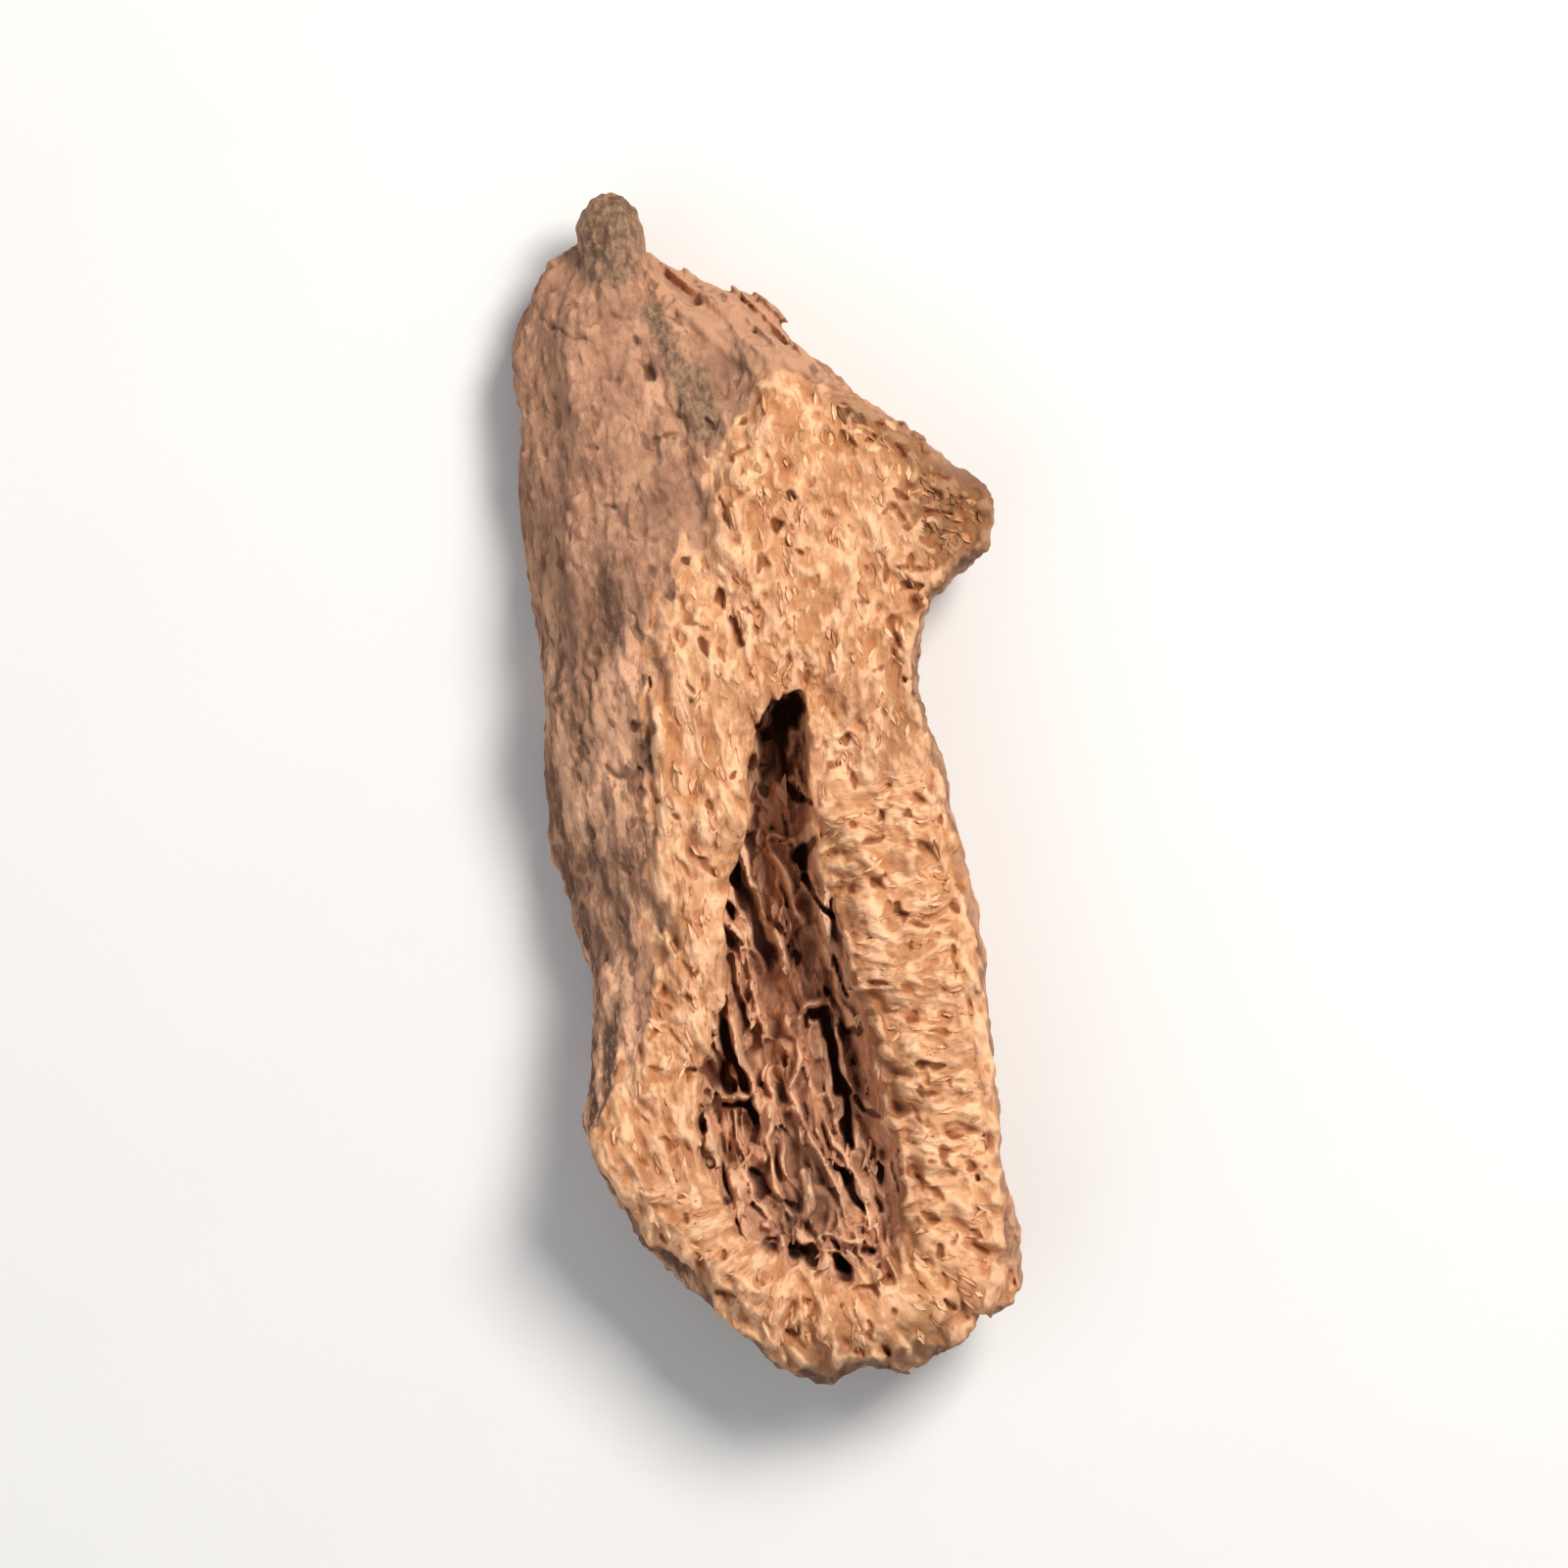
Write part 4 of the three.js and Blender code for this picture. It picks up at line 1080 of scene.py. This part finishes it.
    def relief(self, settings):
        """Relief in every cell, from the finish that its place on the slice has."""
        block, lie, z = self.block, self.lie, self.block.z
        ragged = waves("bark border", lie.x, lie.y)
        on_bark = self.bark_share(ragged, "bark finish")
        heart_place = self.heart_share(ragged)
        on_heart = heart_place * sets_in("heart relief over the base", z)
        furrow = marked(BARK_CRACKS, lie, 101)
        face, face_tone, slots, strands = face_relief(lie, settings)
        face = face - CRACK_DEPTH * furrow
        heart, heart_tone = heart_relief(lie, settings)
        uneven = 0.1 * grain(block.shape, block.cell, (0.4, 0.5, 0.4), 67)
        bark, bark_small = bark_relief(block, lie, settings)
        bark = bark - CRACK_DEPTH * furrow[:, :, None]
        relief = on_bark * bark + (1 - on_bark) * (1 - on_heart) * face[:, :, None]
        relief += (1 - on_bark) * on_heart * (heart[:, :, None] + uneven)
        base = sets_in("base", z)
        reach = round(CREASE_REACH / self.cell)
        self.fields = {
            "bark": on_bark,
            "bark_tint": self.bark_share(TINT_RAGGED * ragged, "bark tint"),
            "heart": heart_place,
            "bark_small": bark_small.astype(np.float32),
            # Depths and creases of the relief, which the finish turns into painted shade in creases and gaps
            # and painted highlights on ridges
            "heart_height": heart,
            "face_crease": face - box_blur(face, reach, 2),
            "heart_crease": heart - box_blur(heart, reach, 2),
            "face_tone": face_tone,
            "heart_tone": heart_tone,
            "furrow": furrow,
            "slot": slots,
            "strand": strands,
        }
        for name in LIE_FACTS:
            self.fields[name] = getattr(lie, name)
        return (relief * (1 - base) - base * np.abs(bark)).astype(np.float32)

    def part(self, name, wanted, facts):
        """A piece of the triangles that are wanted, shaded as one surface with its neighbours."""
        triangles = self.triangles[wanted]
        used, order = np.unique(triangles, return_inverse=True)
        mesh = new_mesh(name, self.points[used], [order.reshape(-1, 3)])
        mesh.normals_split_custom_set_from_vertices(self.normals[used])
        for fact in facts:
            attribute = mesh.attributes.new(fact, "FLOAT", "POINT")
            attribute.data.foreach_set("value", self.facts[fact][used].astype(np.float32))
        return root_piece(name, mesh)


class Strip:
    """Shape of one kind of torn strip, in millimetres and radians."""

    def __init__(self, length, width, lift, curl, spread, lean, outward):
        self.length = length
        self.width = width
        self.lift = lift
        self.curl = curl
        self.spread = spread
        self.lean = lean
        self.outward = outward


FLAKE = Strip(1.0, 0.24, 0.02, 0.1, 0.3, 0.0, True)
SHRED = Strip(1.4, 0.32, 0.05, 0.15, 0.25, 0.15, False)
FRAY = Strip(1.0, 0.26, 0.04, 0.15, 0.5, -0.8, False)


def settled(sculpture, line, spot, up):
    """Lines of spots moved to the surface, and then straightened as stiff fibres are."""
    for _ in range(2):
        away = sculpture.block.sample(sculpture.distance, line.reshape(-1, 3)).reshape(line.shape[:2])
        line = line - np.clip(away, -STEP, STEP)[..., None] * up[:, None]
    rise = ((line - spot[:, None]) * up[:, None]).sum(axis=-1)
    stiff = rise
    for _ in range(STIFFNESS):
        ahead = np.concatenate([stiff[:, 1:], stiff[:, -1:]], axis=1)
        behind = np.concatenate([stiff[:, :1], stiff[:, :-1]], axis=1)
        stiff = (ahead + 2 * stiff + behind) / 4
    return line + (stiff - rise)[..., None] * up[:, None]


def strips(sculpture, name, wanted, count, seed, kind):
    """A piece of many thin torn strips that lie along the root on the triangles that are wanted."""
    rng = np.random.default_rng(seed)
    triangles = sculpture.triangles[wanted]
    corners = sculpture.points[triangles]
    areas = np.linalg.norm(np.cross(corners[:, 1] - corners[:, 0], corners[:, 2] - corners[:, 0]), axis=1)
    chosen = rng.choice(len(areas), count, p=areas / areas.sum())
    spot = corners[chosen].mean(axis=1)
    up = unit(sculpture.normals[triangles[chosen]].mean(axis=1) + (0, 0, UPRIGHT))
    outward = spot[:, :2] - CENTRING - np.stack(axis_beside(spot[:, 1] - CENTRING[1]), axis=1)
    outward_angle = np.arctan2(outward[:, 0], outward[:, 1])
    radial = sculpture.facts["radial"][triangles[chosen, 0]]
    turned = kind.outward & (radial > HALF)
    angle = np.where(turned, outward_angle, kind.lean) + kind.spread * rng.standard_normal(count)
    along = np.stack([np.sin(angle), np.cos(angle), np.zeros(count)], axis=1)
    along = unit(along - (along * up).sum(axis=1, keepdims=True) * up)
    across = np.cross(along, up)
    size = kind.length * rng.uniform(0.45, 1.15, count)
    half = kind.width / 2 * rng.uniform(0.55, 1.3, count)
    bend = rng.normal(0, BEND_SPREAD, count)
    ends = kind.curl * rng.uniform(-0.2, 1, (count, 2)) ** 2
    t = np.linspace(-1, 1, STATIONS)
    reach = size[:, None] / 2 * t
    sideways = bend[:, None] * size[:, None] * (t**2 - 0.3) / 2
    line = spot[:, None] + reach[..., None] * along[:, None] + sideways[..., None] * across[:, None]
    line = settled(sculpture, line, spot, up)
    raised = np.where(t < 0, ends[:, :1], ends[:, 1:]) * np.abs(t) ** 3 + kind.lift
    line = line + raised[..., None] * up[:, None]
    taper = (1 - np.abs(t) ** 1.6) * (1 + 0.15 * rng.standard_normal((count, STATIONS)))
    wide = (half[:, None] * np.clip(taper, NARROWEST, 1.5))[..., None] * across[:, None]
    cup = rng.uniform(-0.5, 0.8, count)[:, None] * half[:, None] * np.ones(STATIONS)
    cup = cup[..., None] * up[:, None]
    under = THICK * up[:, None]
    rings = np.stack([line - wide + cup, line, line + wide + cup, line - under], axis=2)
    return strip_piece(name, rings, rng.random(count))


def unit(vectors):
    return vectors / np.linalg.norm(vectors, axis=-1, keepdims=True)


def strip_piece(name, rings, tones):
    """A piece whose strips are skinned from rings of corners along each, closed at both ends."""
    count, stations, sides, _ = rings.shape
    first = (np.arange(count) * stations * sides)[:, None, None]
    ring = (np.arange(stations - 1) * sides)[None, :, None]
    side = np.arange(sides)[None, None, :]
    turned = (side + 1) % sides
    base = first + ring
    quads = np.stack([base + side, base + side + sides, base + turned + sides, base + turned], axis=-1)
    last = (stations - 1) * sides
    order = np.arange(sides)
    caps = np.concatenate([first[:, :, 0] + order, first[:, :, 0] + last + order[::-1]])
    mesh = new_mesh(name, rings.reshape(-1, 3), [quads.reshape(-1, 4), caps], rounded=False)
    tone = mesh.attributes.new("tone", "FLOAT", "POINT")
    tone.data.foreach_set("value", np.repeat(tones, stations * sides).astype(np.float32))
    return root_piece(name, mesh)


# What the operators share: the sculpture, which the strips are laid on
MADE = {}


class COSTUS_OT_body(bpy.types.Operator):
    """Sculpts the slice: its bark and lower side, its cut face and the floor of its hollow"""

    bl_idname = "costus.body"
    bl_label = "Sculpt the slice"

    def execute(self, context):
        settings = context.scene.costus_slice
        sculpture = Sculpture(settings)
        corners = sculpture.triangles
        upper = sculpture.points[corners, 1].mean(axis=1) > NECK_Y
        bark = sculpture.facts["bark"][corners].mean(axis=1) > HALF
        heart = ~bark & (sculpture.facts["heart"][corners].mean(axis=1) > HALF)
        face = ~bark & ~heart
        material = root_material(settings)
        facts = [name for name in sculpture.fields if name not in STRIP_FACTS]
        parts = {
            "upper_bark": bark & upper,
            "lower_bark": bark & ~upper,
            "heart": heart,
            "upper_face": face & upper,
            "rim_face": face & ~upper,
        }
        for name, wanted in parts.items():
            sculpture.part(name, wanted, facts).data.materials.append(material)
        MADE["sculpture"] = sculpture
        MADE["face"] = face
        MADE["heart"] = heart
        return {"FINISHED"}


class COSTUS_OT_strips(bpy.types.Operator):
    """Lays torn flakes on the cut face and its frayed lobe, and torn shreds in the hollow"""

    bl_idname = "costus.strips"
    bl_label = "Lay the torn strips"

    def execute(self, context):
        if "sculpture" not in MADE:
            raise RuntimeError("The slice has to be sculpted before strips can be laid on it")
        settings = context.scene.costus_slice
        sculpture, face, heart = MADE["sculpture"], MADE["face"], MADE["heart"]
        first = sculpture.triangles[:, 0]
        facts = sculpture.facts
        within = (facts["rim"][first] > EDGE_FREE) & (facts["mouth"][first] < -EDGE_FREE)
        within &= facts["slot"][first] < UNCUT
        level = sculpture.normals[first, 2] > LEVEL
        frayed = facts["frayed"][first] > HALF
        rough = facts["heart_height"][first] > ROUGH_HEART
        wood, pale = settings.wood_colour, settings.wood_pale
        kinds = (
            ("face_flakes", face & within & level & ~frayed, settings.flakes, FLAKE, wood, pale),
            ("heart_shreds", heart & level & rough, settings.shreds, SHRED,
             settings.heart_colour, settings.heart_pale),
            ("frayed_flakes", face & within & level & frayed, settings.frays, FRAY,
             colour(wood, 0.45), wood),
        )
        for seed, (name, wanted, count, kind, low, high) in enumerate(kinds):
            piece = strips(sculpture, name, wanted, count, FIRST_SEED + seed, kind)
            piece.data.materials.append(flake_material(low, high, name))
        return {"FINISHED"}


# Materials


def colour(value, shade=1.0):
    return (*(channel * shade for channel in value[:3]), 1.0)


def connect(tree, value, socket):
    """Gives a socket either a link or a plain value."""
    if isinstance(value, bpy.types.NodeSocket):
        tree.links.new(value, socket)
    else:
        socket.default_value = value


def mix_colour(tree, share, first, second):
    made = tree.nodes.new("ShaderNodeMix")
    made.data_type = "RGBA"
    for socket, value in zip((made.inputs[0], made.inputs[6], made.inputs[7]), (share, first, second)):
        connect(tree, value, socket)
    return made.outputs[2]


def maths(tree, operation, first, second=0.0):
    made = tree.nodes.new("ShaderNodeMath")
    made.operation = operation
    connect(tree, first, made.inputs[0])
    connect(tree, second, made.inputs[1])
    return made.outputs[0]


def ranged(tree, value, low, high, to_low=0.0, to_high=1.0):
    """A value drawn out smoothly from one range to another."""
    made = tree.nodes.new("ShaderNodeMapRange")
    made.interpolation_type = "SMOOTHSTEP"
    tree.links.new(value, made.inputs[0])
    for socket, number in zip(made.inputs[1:5], (low, high, to_low, to_high)):
        socket.default_value = number
    return made.outputs[0]


def fact(tree, name):
    """What the sculpting wrote at each corner under a name."""
    made = tree.nodes.new("ShaderNodeAttribute")
    made.attribute_name = name
    return made.outputs["Fac"]


def noise(tree, place, scale, stretch=(1, 1, 1), detail=4.0, roughness=0.6, turn=0.0):
    """Noise over a place, with so many grains to a unit, stretched along each axis and then turned."""
    mapping = tree.nodes.new("ShaderNodeMapping")
    mapping.vector_type = "TEXTURE"
    mapping.inputs["Scale"].default_value = [1 / share for share in stretch]
    mapping.inputs["Rotation"].default_value[2] = turn
    tree.links.new(place, mapping.inputs["Vector"])
    made = tree.nodes.new("ShaderNodeTexNoise")
    made.inputs["Scale"].default_value = scale
    made.inputs["Detail"].default_value = detail
    made.inputs["Roughness"].default_value = roughness
    tree.links.new(mapping.outputs[0], made.inputs["Vector"])
    return made.outputs["Fac"]


def own_place(tree):
    return tree.nodes.new("ShaderNodeTexCoord").outputs["Object"]


def round_place(tree):
    """Place on the face counted round the hollow and out from it, in metres."""
    made = tree.nodes.new("ShaderNodeCombineXYZ")
    tree.links.new(maths(tree, "MULTIPLY", fact(tree, "round"), MM), made.inputs[0])
    tree.links.new(maths(tree, "MULTIPLY", fact(tree, "out"), MM), made.inputs[1])
    return made.outputs[0]


def new_material(name):
    material = bpy.data.materials.new(name)
    material.use_nodes = True
    material.node_tree.nodes.clear()
    return material, material.node_tree


def finish(tree, base, roughness, bump_height, bump_distance, specular=0.25):
    """Closes a material with its colour, roughness and fine bumps."""
    shader = tree.nodes.new("ShaderNodeBsdfPrincipled")
    output = tree.nodes.new("ShaderNodeOutputMaterial")
    connect(tree, base, shader.inputs["Base Color"])
    connect(tree, roughness, shader.inputs["Roughness"])
    shader.inputs["Specular IOR Level"].default_value = specular
    bump = tree.nodes.new("ShaderNodeBump")
    bump.inputs["Distance"].default_value = bump_distance
    tree.links.new(bump_height, bump.inputs["Height"])
    tree.links.new(bump.outputs[0], shader.inputs["Normal"])
    tree.links.new(shader.outputs[0], output.inputs[0])


def mix_half(first, second):
    """The colour halfway between two."""
    return colour([(one + other) / 2 for one, other in zip(first, second)])


def mixed_value(tree, share, first, second):
    made = tree.nodes.new("ShaderNodeMix")
    for socket, value in zip((made.inputs[0], made.inputs[2], made.inputs[3]), (share, first, second)):
        connect(tree, value, socket)
    return made.outputs[0]


def laid_over(tree, base, layers):
    """A colour with others laid over it in turn, each up to a share as its value runs from start to full."""
    for value, start, full, most, tint in layers:
        base = mix_colour(tree, ranged(tree, value, start, full, 0.0, most), base, tint)
    return base


def face_colour(tree, settings, fibres, streams):
    """Cut face: tan wood with pale strands and rusty slots, painted shade dark in creases, slots and cracks
    and a painted highlight on ridges, browner where it is frayed.
    """
    wood, pale, dark, rust = settings.wood_colour, settings.wood_pale, settings.wood_painted_shade, settings.wood_rust
    reddish, bright, brightest = mix_half(wood, rust), colour(pale, 1.1), colour(pale, 1.15)
    place = own_place(tree)
    crease = fact(tree, "face_crease")
    shade = fact(tree, "shade")
    blotch = noise(tree, place, 300, (1, 0.7, 1), 3)
    flecks = noise(tree, place, 1500, (1, 0.5, 1), 3, 0.6, 0.2)
    worn = maths(tree, "MULTIPLY", fact(tree, "edge"), flecks)
    strand = maths(tree, "MULTIPLY", fact(tree, "strand"), flecks)
    slot = maths(tree, "MULTIPLY", fact(tree, "slot"), fibres)
    base = mix_colour(tree, ranged(tree, blotch, 0.36, 0.66), colour(wood, 0.95), mix_half(wood, pale))
    layers = (
        (fact(tree, "face_tone"), 0.55, 0.95, 0.45, colour(pale)),
        (flecks, 0.56, 0.68, 0.55, reddish),
        (flecks, 0.44, 0.34, 0.6, bright),
        (streams, 0.53, 0.64, 0.75, brightest),
        (streams, 0.47, 0.37, 0.6, reddish),
        (fibres, 0.54, 0.68, 0.6, bright),
        (fibres, 0.48, 0.34, 0.6, colour(wood, 0.65)),
        # Paler and darker places: painted shade along the lower edge and on the frayed lobe, tint elsewhere
        (shade, 0.0, 1.0, 1.0, brightest),
        (shade, 0.0, -1.0, 0.9, colour(wood, 0.45)),
        (worn, 0.08, 0.5, 0.85, colour(reddish, 0.62)),
        # Painted highlight on ridge tops, and painted shade down in the creases, reddish and then near black
        (crease, 0.02, 0.16, 0.6, bright),
        (crease, -0.02, -0.12, 0.7, reddish),
        (crease, -0.12, -0.26, 0.75, colour(dark, 1.2)),
        (fact(tree, "frayed"), 0.15, 0.8, 0.68, colour(wood, 0.4)),
        (strand, 0.05, 0.5, 0.7, brightest),
        # Rust at the slots' sides, then painted shade near black deep in them and in the bark's cracks that
        # reach the face
        (slot, 0.02, 0.3, 0.85, colour(rust)),
        (slot, 0.2, 0.5, 0.85, colour(dark, 0.6)),
        (fact(tree, "furrow"), 0.1, 1.0, 0.8, colour(dark, 0.6)),
    )
    return laid_over(tree, base, layers)


def bark_colour(tree, settings):
    """Bark: brown, rubbed pale on its raised wrinkles, partly a painted highlight, with dark specks, painted
    shade in its pits and cracks and on its left flank, olive streaks and a rubbed shoulder.
    """
    plain, pale, dark = settings.bark_colour, settings.bark_pale, settings.bark_specks_and_shade
    small = fact(tree, "bark_small")
    place = own_place(tree)
    blotch = noise(tree, place, 240, (1, 0.4, 1), 4)
    streaks = noise(tree, place, 1300, (1, 0.34, 1), 6, 0.72, BARK_SLANT)
    specks = noise(tree, place, 1100, (1, 0.45, 1), 3, 0.5, 2.5 * BARK_SLANT)
    mottle = noise(tree, place, 750, (1, 0.6, 1), 3, 0.6, -BARK_SLANT)
    grains = noise(tree, place, 3200, (1, 0.6, 1), 4, 0.7)
    bands = noise(tree, place, 800, (1, 0.24, 1), 4, 0.6, BARK_SLANT / 2)
    rough = fact(tree, "rough_bark")
    dim = maths(tree, "MULTIPLY", ranged(tree, bands, 0.5, 0.56), rough)
    worn = maths(tree, "MULTIPLY", ranged(tree, bands, 0.48, 0.42), rough)
    shoulder = maths(tree, "ADD", fact(tree, "shoulder"), streaks)
    olive = maths(tree, "ADD", fact(tree, "olive"), mottle)
    browns = (colour(settings.olive_colour, 0.5), colour(settings.olive_colour, 1.5))
    base = mix_colour(tree, ranged(tree, streaks, 0.36, 0.66), colour(plain, 0.8), mix_half(plain, pale))
    base = laid_over(tree, base, (
        (mottle, 0.52, 0.66, 0.4, colour(plain, 0.62)),
        (mottle, 0.46, 0.34, 0.5, colour(pale, 1.1)),
    ))
    base = mix_colour(tree, dim, base, colour(plain, 0.28))
    base = mix_colour(tree, worn, base, colour(pale, 1.25))
    base = laid_over(tree, base, (
        (grains, 0.5, 0.66, 0.5, colour(pale)),
        (grains, 0.48, 0.34, 0.5, colour(plain, 0.55)),
        (blotch, 0.4, 0.66, 0.5, colour(plain, 0.75)),
        # Paler on raised wrinkles, partly a painted highlight
        (small, 0.06, 0.18, 0.5, colour(pale)),
        # Darker places: painted shade on the left flank, which turns from the light, tint elsewhere
        (fact(tree, "shade"), 0.0, -1.0, 0.9, colour(plain, 0.42)),
        (shoulder, 0.9, 1.5, 0.8, mix_half(pale, plain)),
        (olive, 0.6, 1.5, 0.9, mix_colour(tree, ranged(tree, grains, 0.36, 0.64), *browns)),
        (specks, 0.6, 0.68, 0.75, colour(dark, 1.2)),
        # Painted shade in the bark's pits and cracks
        (small, -0.07, -0.22, 0.6, colour(dark, 1.3)),
        (fact(tree, "furrow"), 0.1, 1.0, 0.8, colour(dark, 0.75)),
    ))
    return base, streaks


def heart_colour(tree, settings, fibres):
    """Heart tissue: brown, pale on torn edges, partly a painted highlight, with painted shade in its creases
    and near black deep in its gaps.
    """
    plain, pale, dark = settings.heart_colour, settings.heart_pale, settings.heart_painted_shade
    crease = fact(tree, "heart_crease")
    base = mix_colour(tree, ranged(tree, fibres, 0.34, 0.7), colour(plain, 0.65), colour(plain, 1.35))
    return laid_over(tree, base, (
        (fact(tree, "heart_tone"), 0.4, 1.0, 0.35, colour(pale, 0.8)),
        (fact(tree, "shade"), 0.0, -1.0, 0.9, colour(plain, 0.5)),
        # Pale on ridges, partly a painted highlight; painted shade in the creases and near black deep in the
        # gaps
        (crease, 0.08, 0.34, 0.9, colour(pale)),
        (crease, -0.1, -0.4, 0.8, colour(dark, 2.5)),
        (fact(tree, "heart_height"), -0.75, -1.6, 1.0, colour(dark, 0.9)),
    ))


def fine_fibres(tree):
    """Noise that is drawn out along the root, as its fibres are."""
    return noise(tree, own_place(tree), 2600, (1, 0.28, 1), 5, 0.68)


def dry_roughness(tree):
    return ranged(tree, noise(tree, own_place(tree), 900), 0.3, 0.7, 0.8, 0.95)


def flake_material(low, high, name):
    """Torn tissue between two colours, each strip in its own tone, with fine fibres along the root."""
    material, tree = new_material(name)
    fibres = fine_fibres(tree)
    base = mix_colour(tree, ranged(tree, fact(tree, "tone"), 0.0, 1.0), colour(low, 0.95), colour(high, 1.05))
    base = laid_over(tree, base, ((fibres, 0.5, 0.3, 0.6, colour(low, 0.62)),))
    finish(tree, base, dry_roughness(tree), fibres, 0.0001)
    return material


def root_material(settings):
    """Dried root: bark, cut wood and heart tissue, each where the sculpting put it."""
    material, tree = new_material("dried_root")
    lengthwise = fine_fibres(tree)
    outward = noise(tree, round_place(tree), 2600, (1, 0.3, 1), 5, 0.68)
    across = ranged(tree, fact(tree, "radial"), 0.3, 0.7)
    fibres = mixed_value(tree, across, lengthwise, outward)
    coarse = noise(tree, own_place(tree), 1000, (1, 0.42, 1), 3, 0.55, -0.1)
    coarse_outward = noise(tree, round_place(tree), 1000, (1, 0.5, 1), 3, 0.55)
    streams = mixed_value(tree, across, coarse, coarse_outward)
    bark, streaks = bark_colour(tree, settings)
    mottle = maths(tree, "MULTIPLY", noise(tree, own_place(tree), 1900, (1, 0.5, 1), 3), 0.6)
    on_bark = ranged(tree, maths(tree, "ADD", fact(tree, "bark_tint"), mottle), 0.55, 1.05)
    base = mix_colour(tree, on_bark, face_colour(tree, settings, fibres, streams), bark)
    on_heart = ranged(tree, fact(tree, "heart"), 0.3, 0.8)
    base = mix_colour(tree, on_heart, base, heart_colour(tree, settings, lengthwise))
    finish(tree, base, dry_roughness(tree), mixed_value(tree, on_bark, fibres, streaks), 0.00018)
    return material


# Stage


class COSTUS_OT_stage(bpy.types.Operator):
    """Lays the plain floor and sets the light and the camera"""

    bl_idname = "costus.stage"
    bl_label = "Set the stage"

    def execute(self, context):
        scene = context.scene
        material, tree = new_material("plain_floor")
        speck = noise(tree, own_place(tree), 40)
        base = mix_colour(tree, speck, *FLOOR_TONES)
        finish(tree, base, 0.7, speck, 0.00002)
        half = FLOOR_HALF / MM
        corners = np.array([[-half, -half, 0], [half, -half, 0], [half, half, 0], [-half, half, 0]])
        floor = new_piece("floor", new_mesh("floor", corners, [np.array([[0, 1, 2, 3]])]))
        floor.data.materials.append(material)
        for facts in LAMPS:
            lamp(scene, *facts)
        world = bpy.data.worlds.new("soft_room")
        world.use_nodes = True
        background = world.node_tree.nodes["Background"]
        background.inputs[0].default_value = ROOM_TINT
        background.inputs[1].default_value = ROOM_LIGHT
        scene.world = world
        scene.view_settings.view_transform = "Standard"
        set_camera(scene)
        return {"FINISHED"}


def lamp(scene, name, place, size, power, tint):
    """A soft square lamp that points at the slice."""
    data = bpy.data.lights.new(name, "AREA")
    data.size = size
    data.energy = power
    data.color = tint
    made = bpy.data.objects.new(name, data)
    made.location = place
    made.rotation_euler = (-Vector(place)).to_track_quat("-Z", "Y").to_euler()
    scene.collection.objects.link(made)


def set_camera(scene):
    """A long lens straight above the slice, turned a little so that its top leans left."""
    data = bpy.data.cameras.new("camera")
    data.lens = LENS
    data.sensor_width = SENSOR
    camera = bpy.data.objects.new("camera", data)
    height = VIEW_HEIGHT * LENS / SENSOR + FACE_HEIGHT * MM
    turned = Matrix.Rotation(-VIEW_LEAN, 4, "Z")
    camera.matrix_world = Matrix.Translation((0, 0, height)) @ turned
    scene.collection.objects.link(camera)
    scene.camera = camera


class COSTUS_PT_panel(bpy.types.Panel):
    """Lists the steps and the settings of the slice"""

    bl_idname = "COSTUS_PT_panel"
    bl_label = "Costus Root Slice"
    bl_space_type = "VIEW_3D"
    bl_region_type = "UI"
    bl_category = "Costus Root"

    def draw(self, context):
        layout = self.layout
        settings = context.scene.costus_slice
        for name in SliceSettings.__annotations__:
            layout.prop(settings, name)
        for step in STEPS:
            layout.operator(step.bl_idname)


STEPS = (COSTUS_OT_body, COSTUS_OT_strips, COSTUS_OT_stage)
CLASSES = (SliceSettings, *STEPS, COSTUS_PT_panel)


def register():
    for made in CLASSES:
        bpy.utils.register_class(made)
    bpy.types.Scene.costus_slice = PointerProperty(type=SliceSettings)


def unregister():
    del bpy.types.Scene.costus_slice
    for made in reversed(CLASSES):
        bpy.utils.unregister_class(made)


def main():
    register()
    bpy.ops.costus.body()
    bpy.ops.costus.strips()
    bpy.ops.costus.stage()


if __name__ == "__main__":
    main()
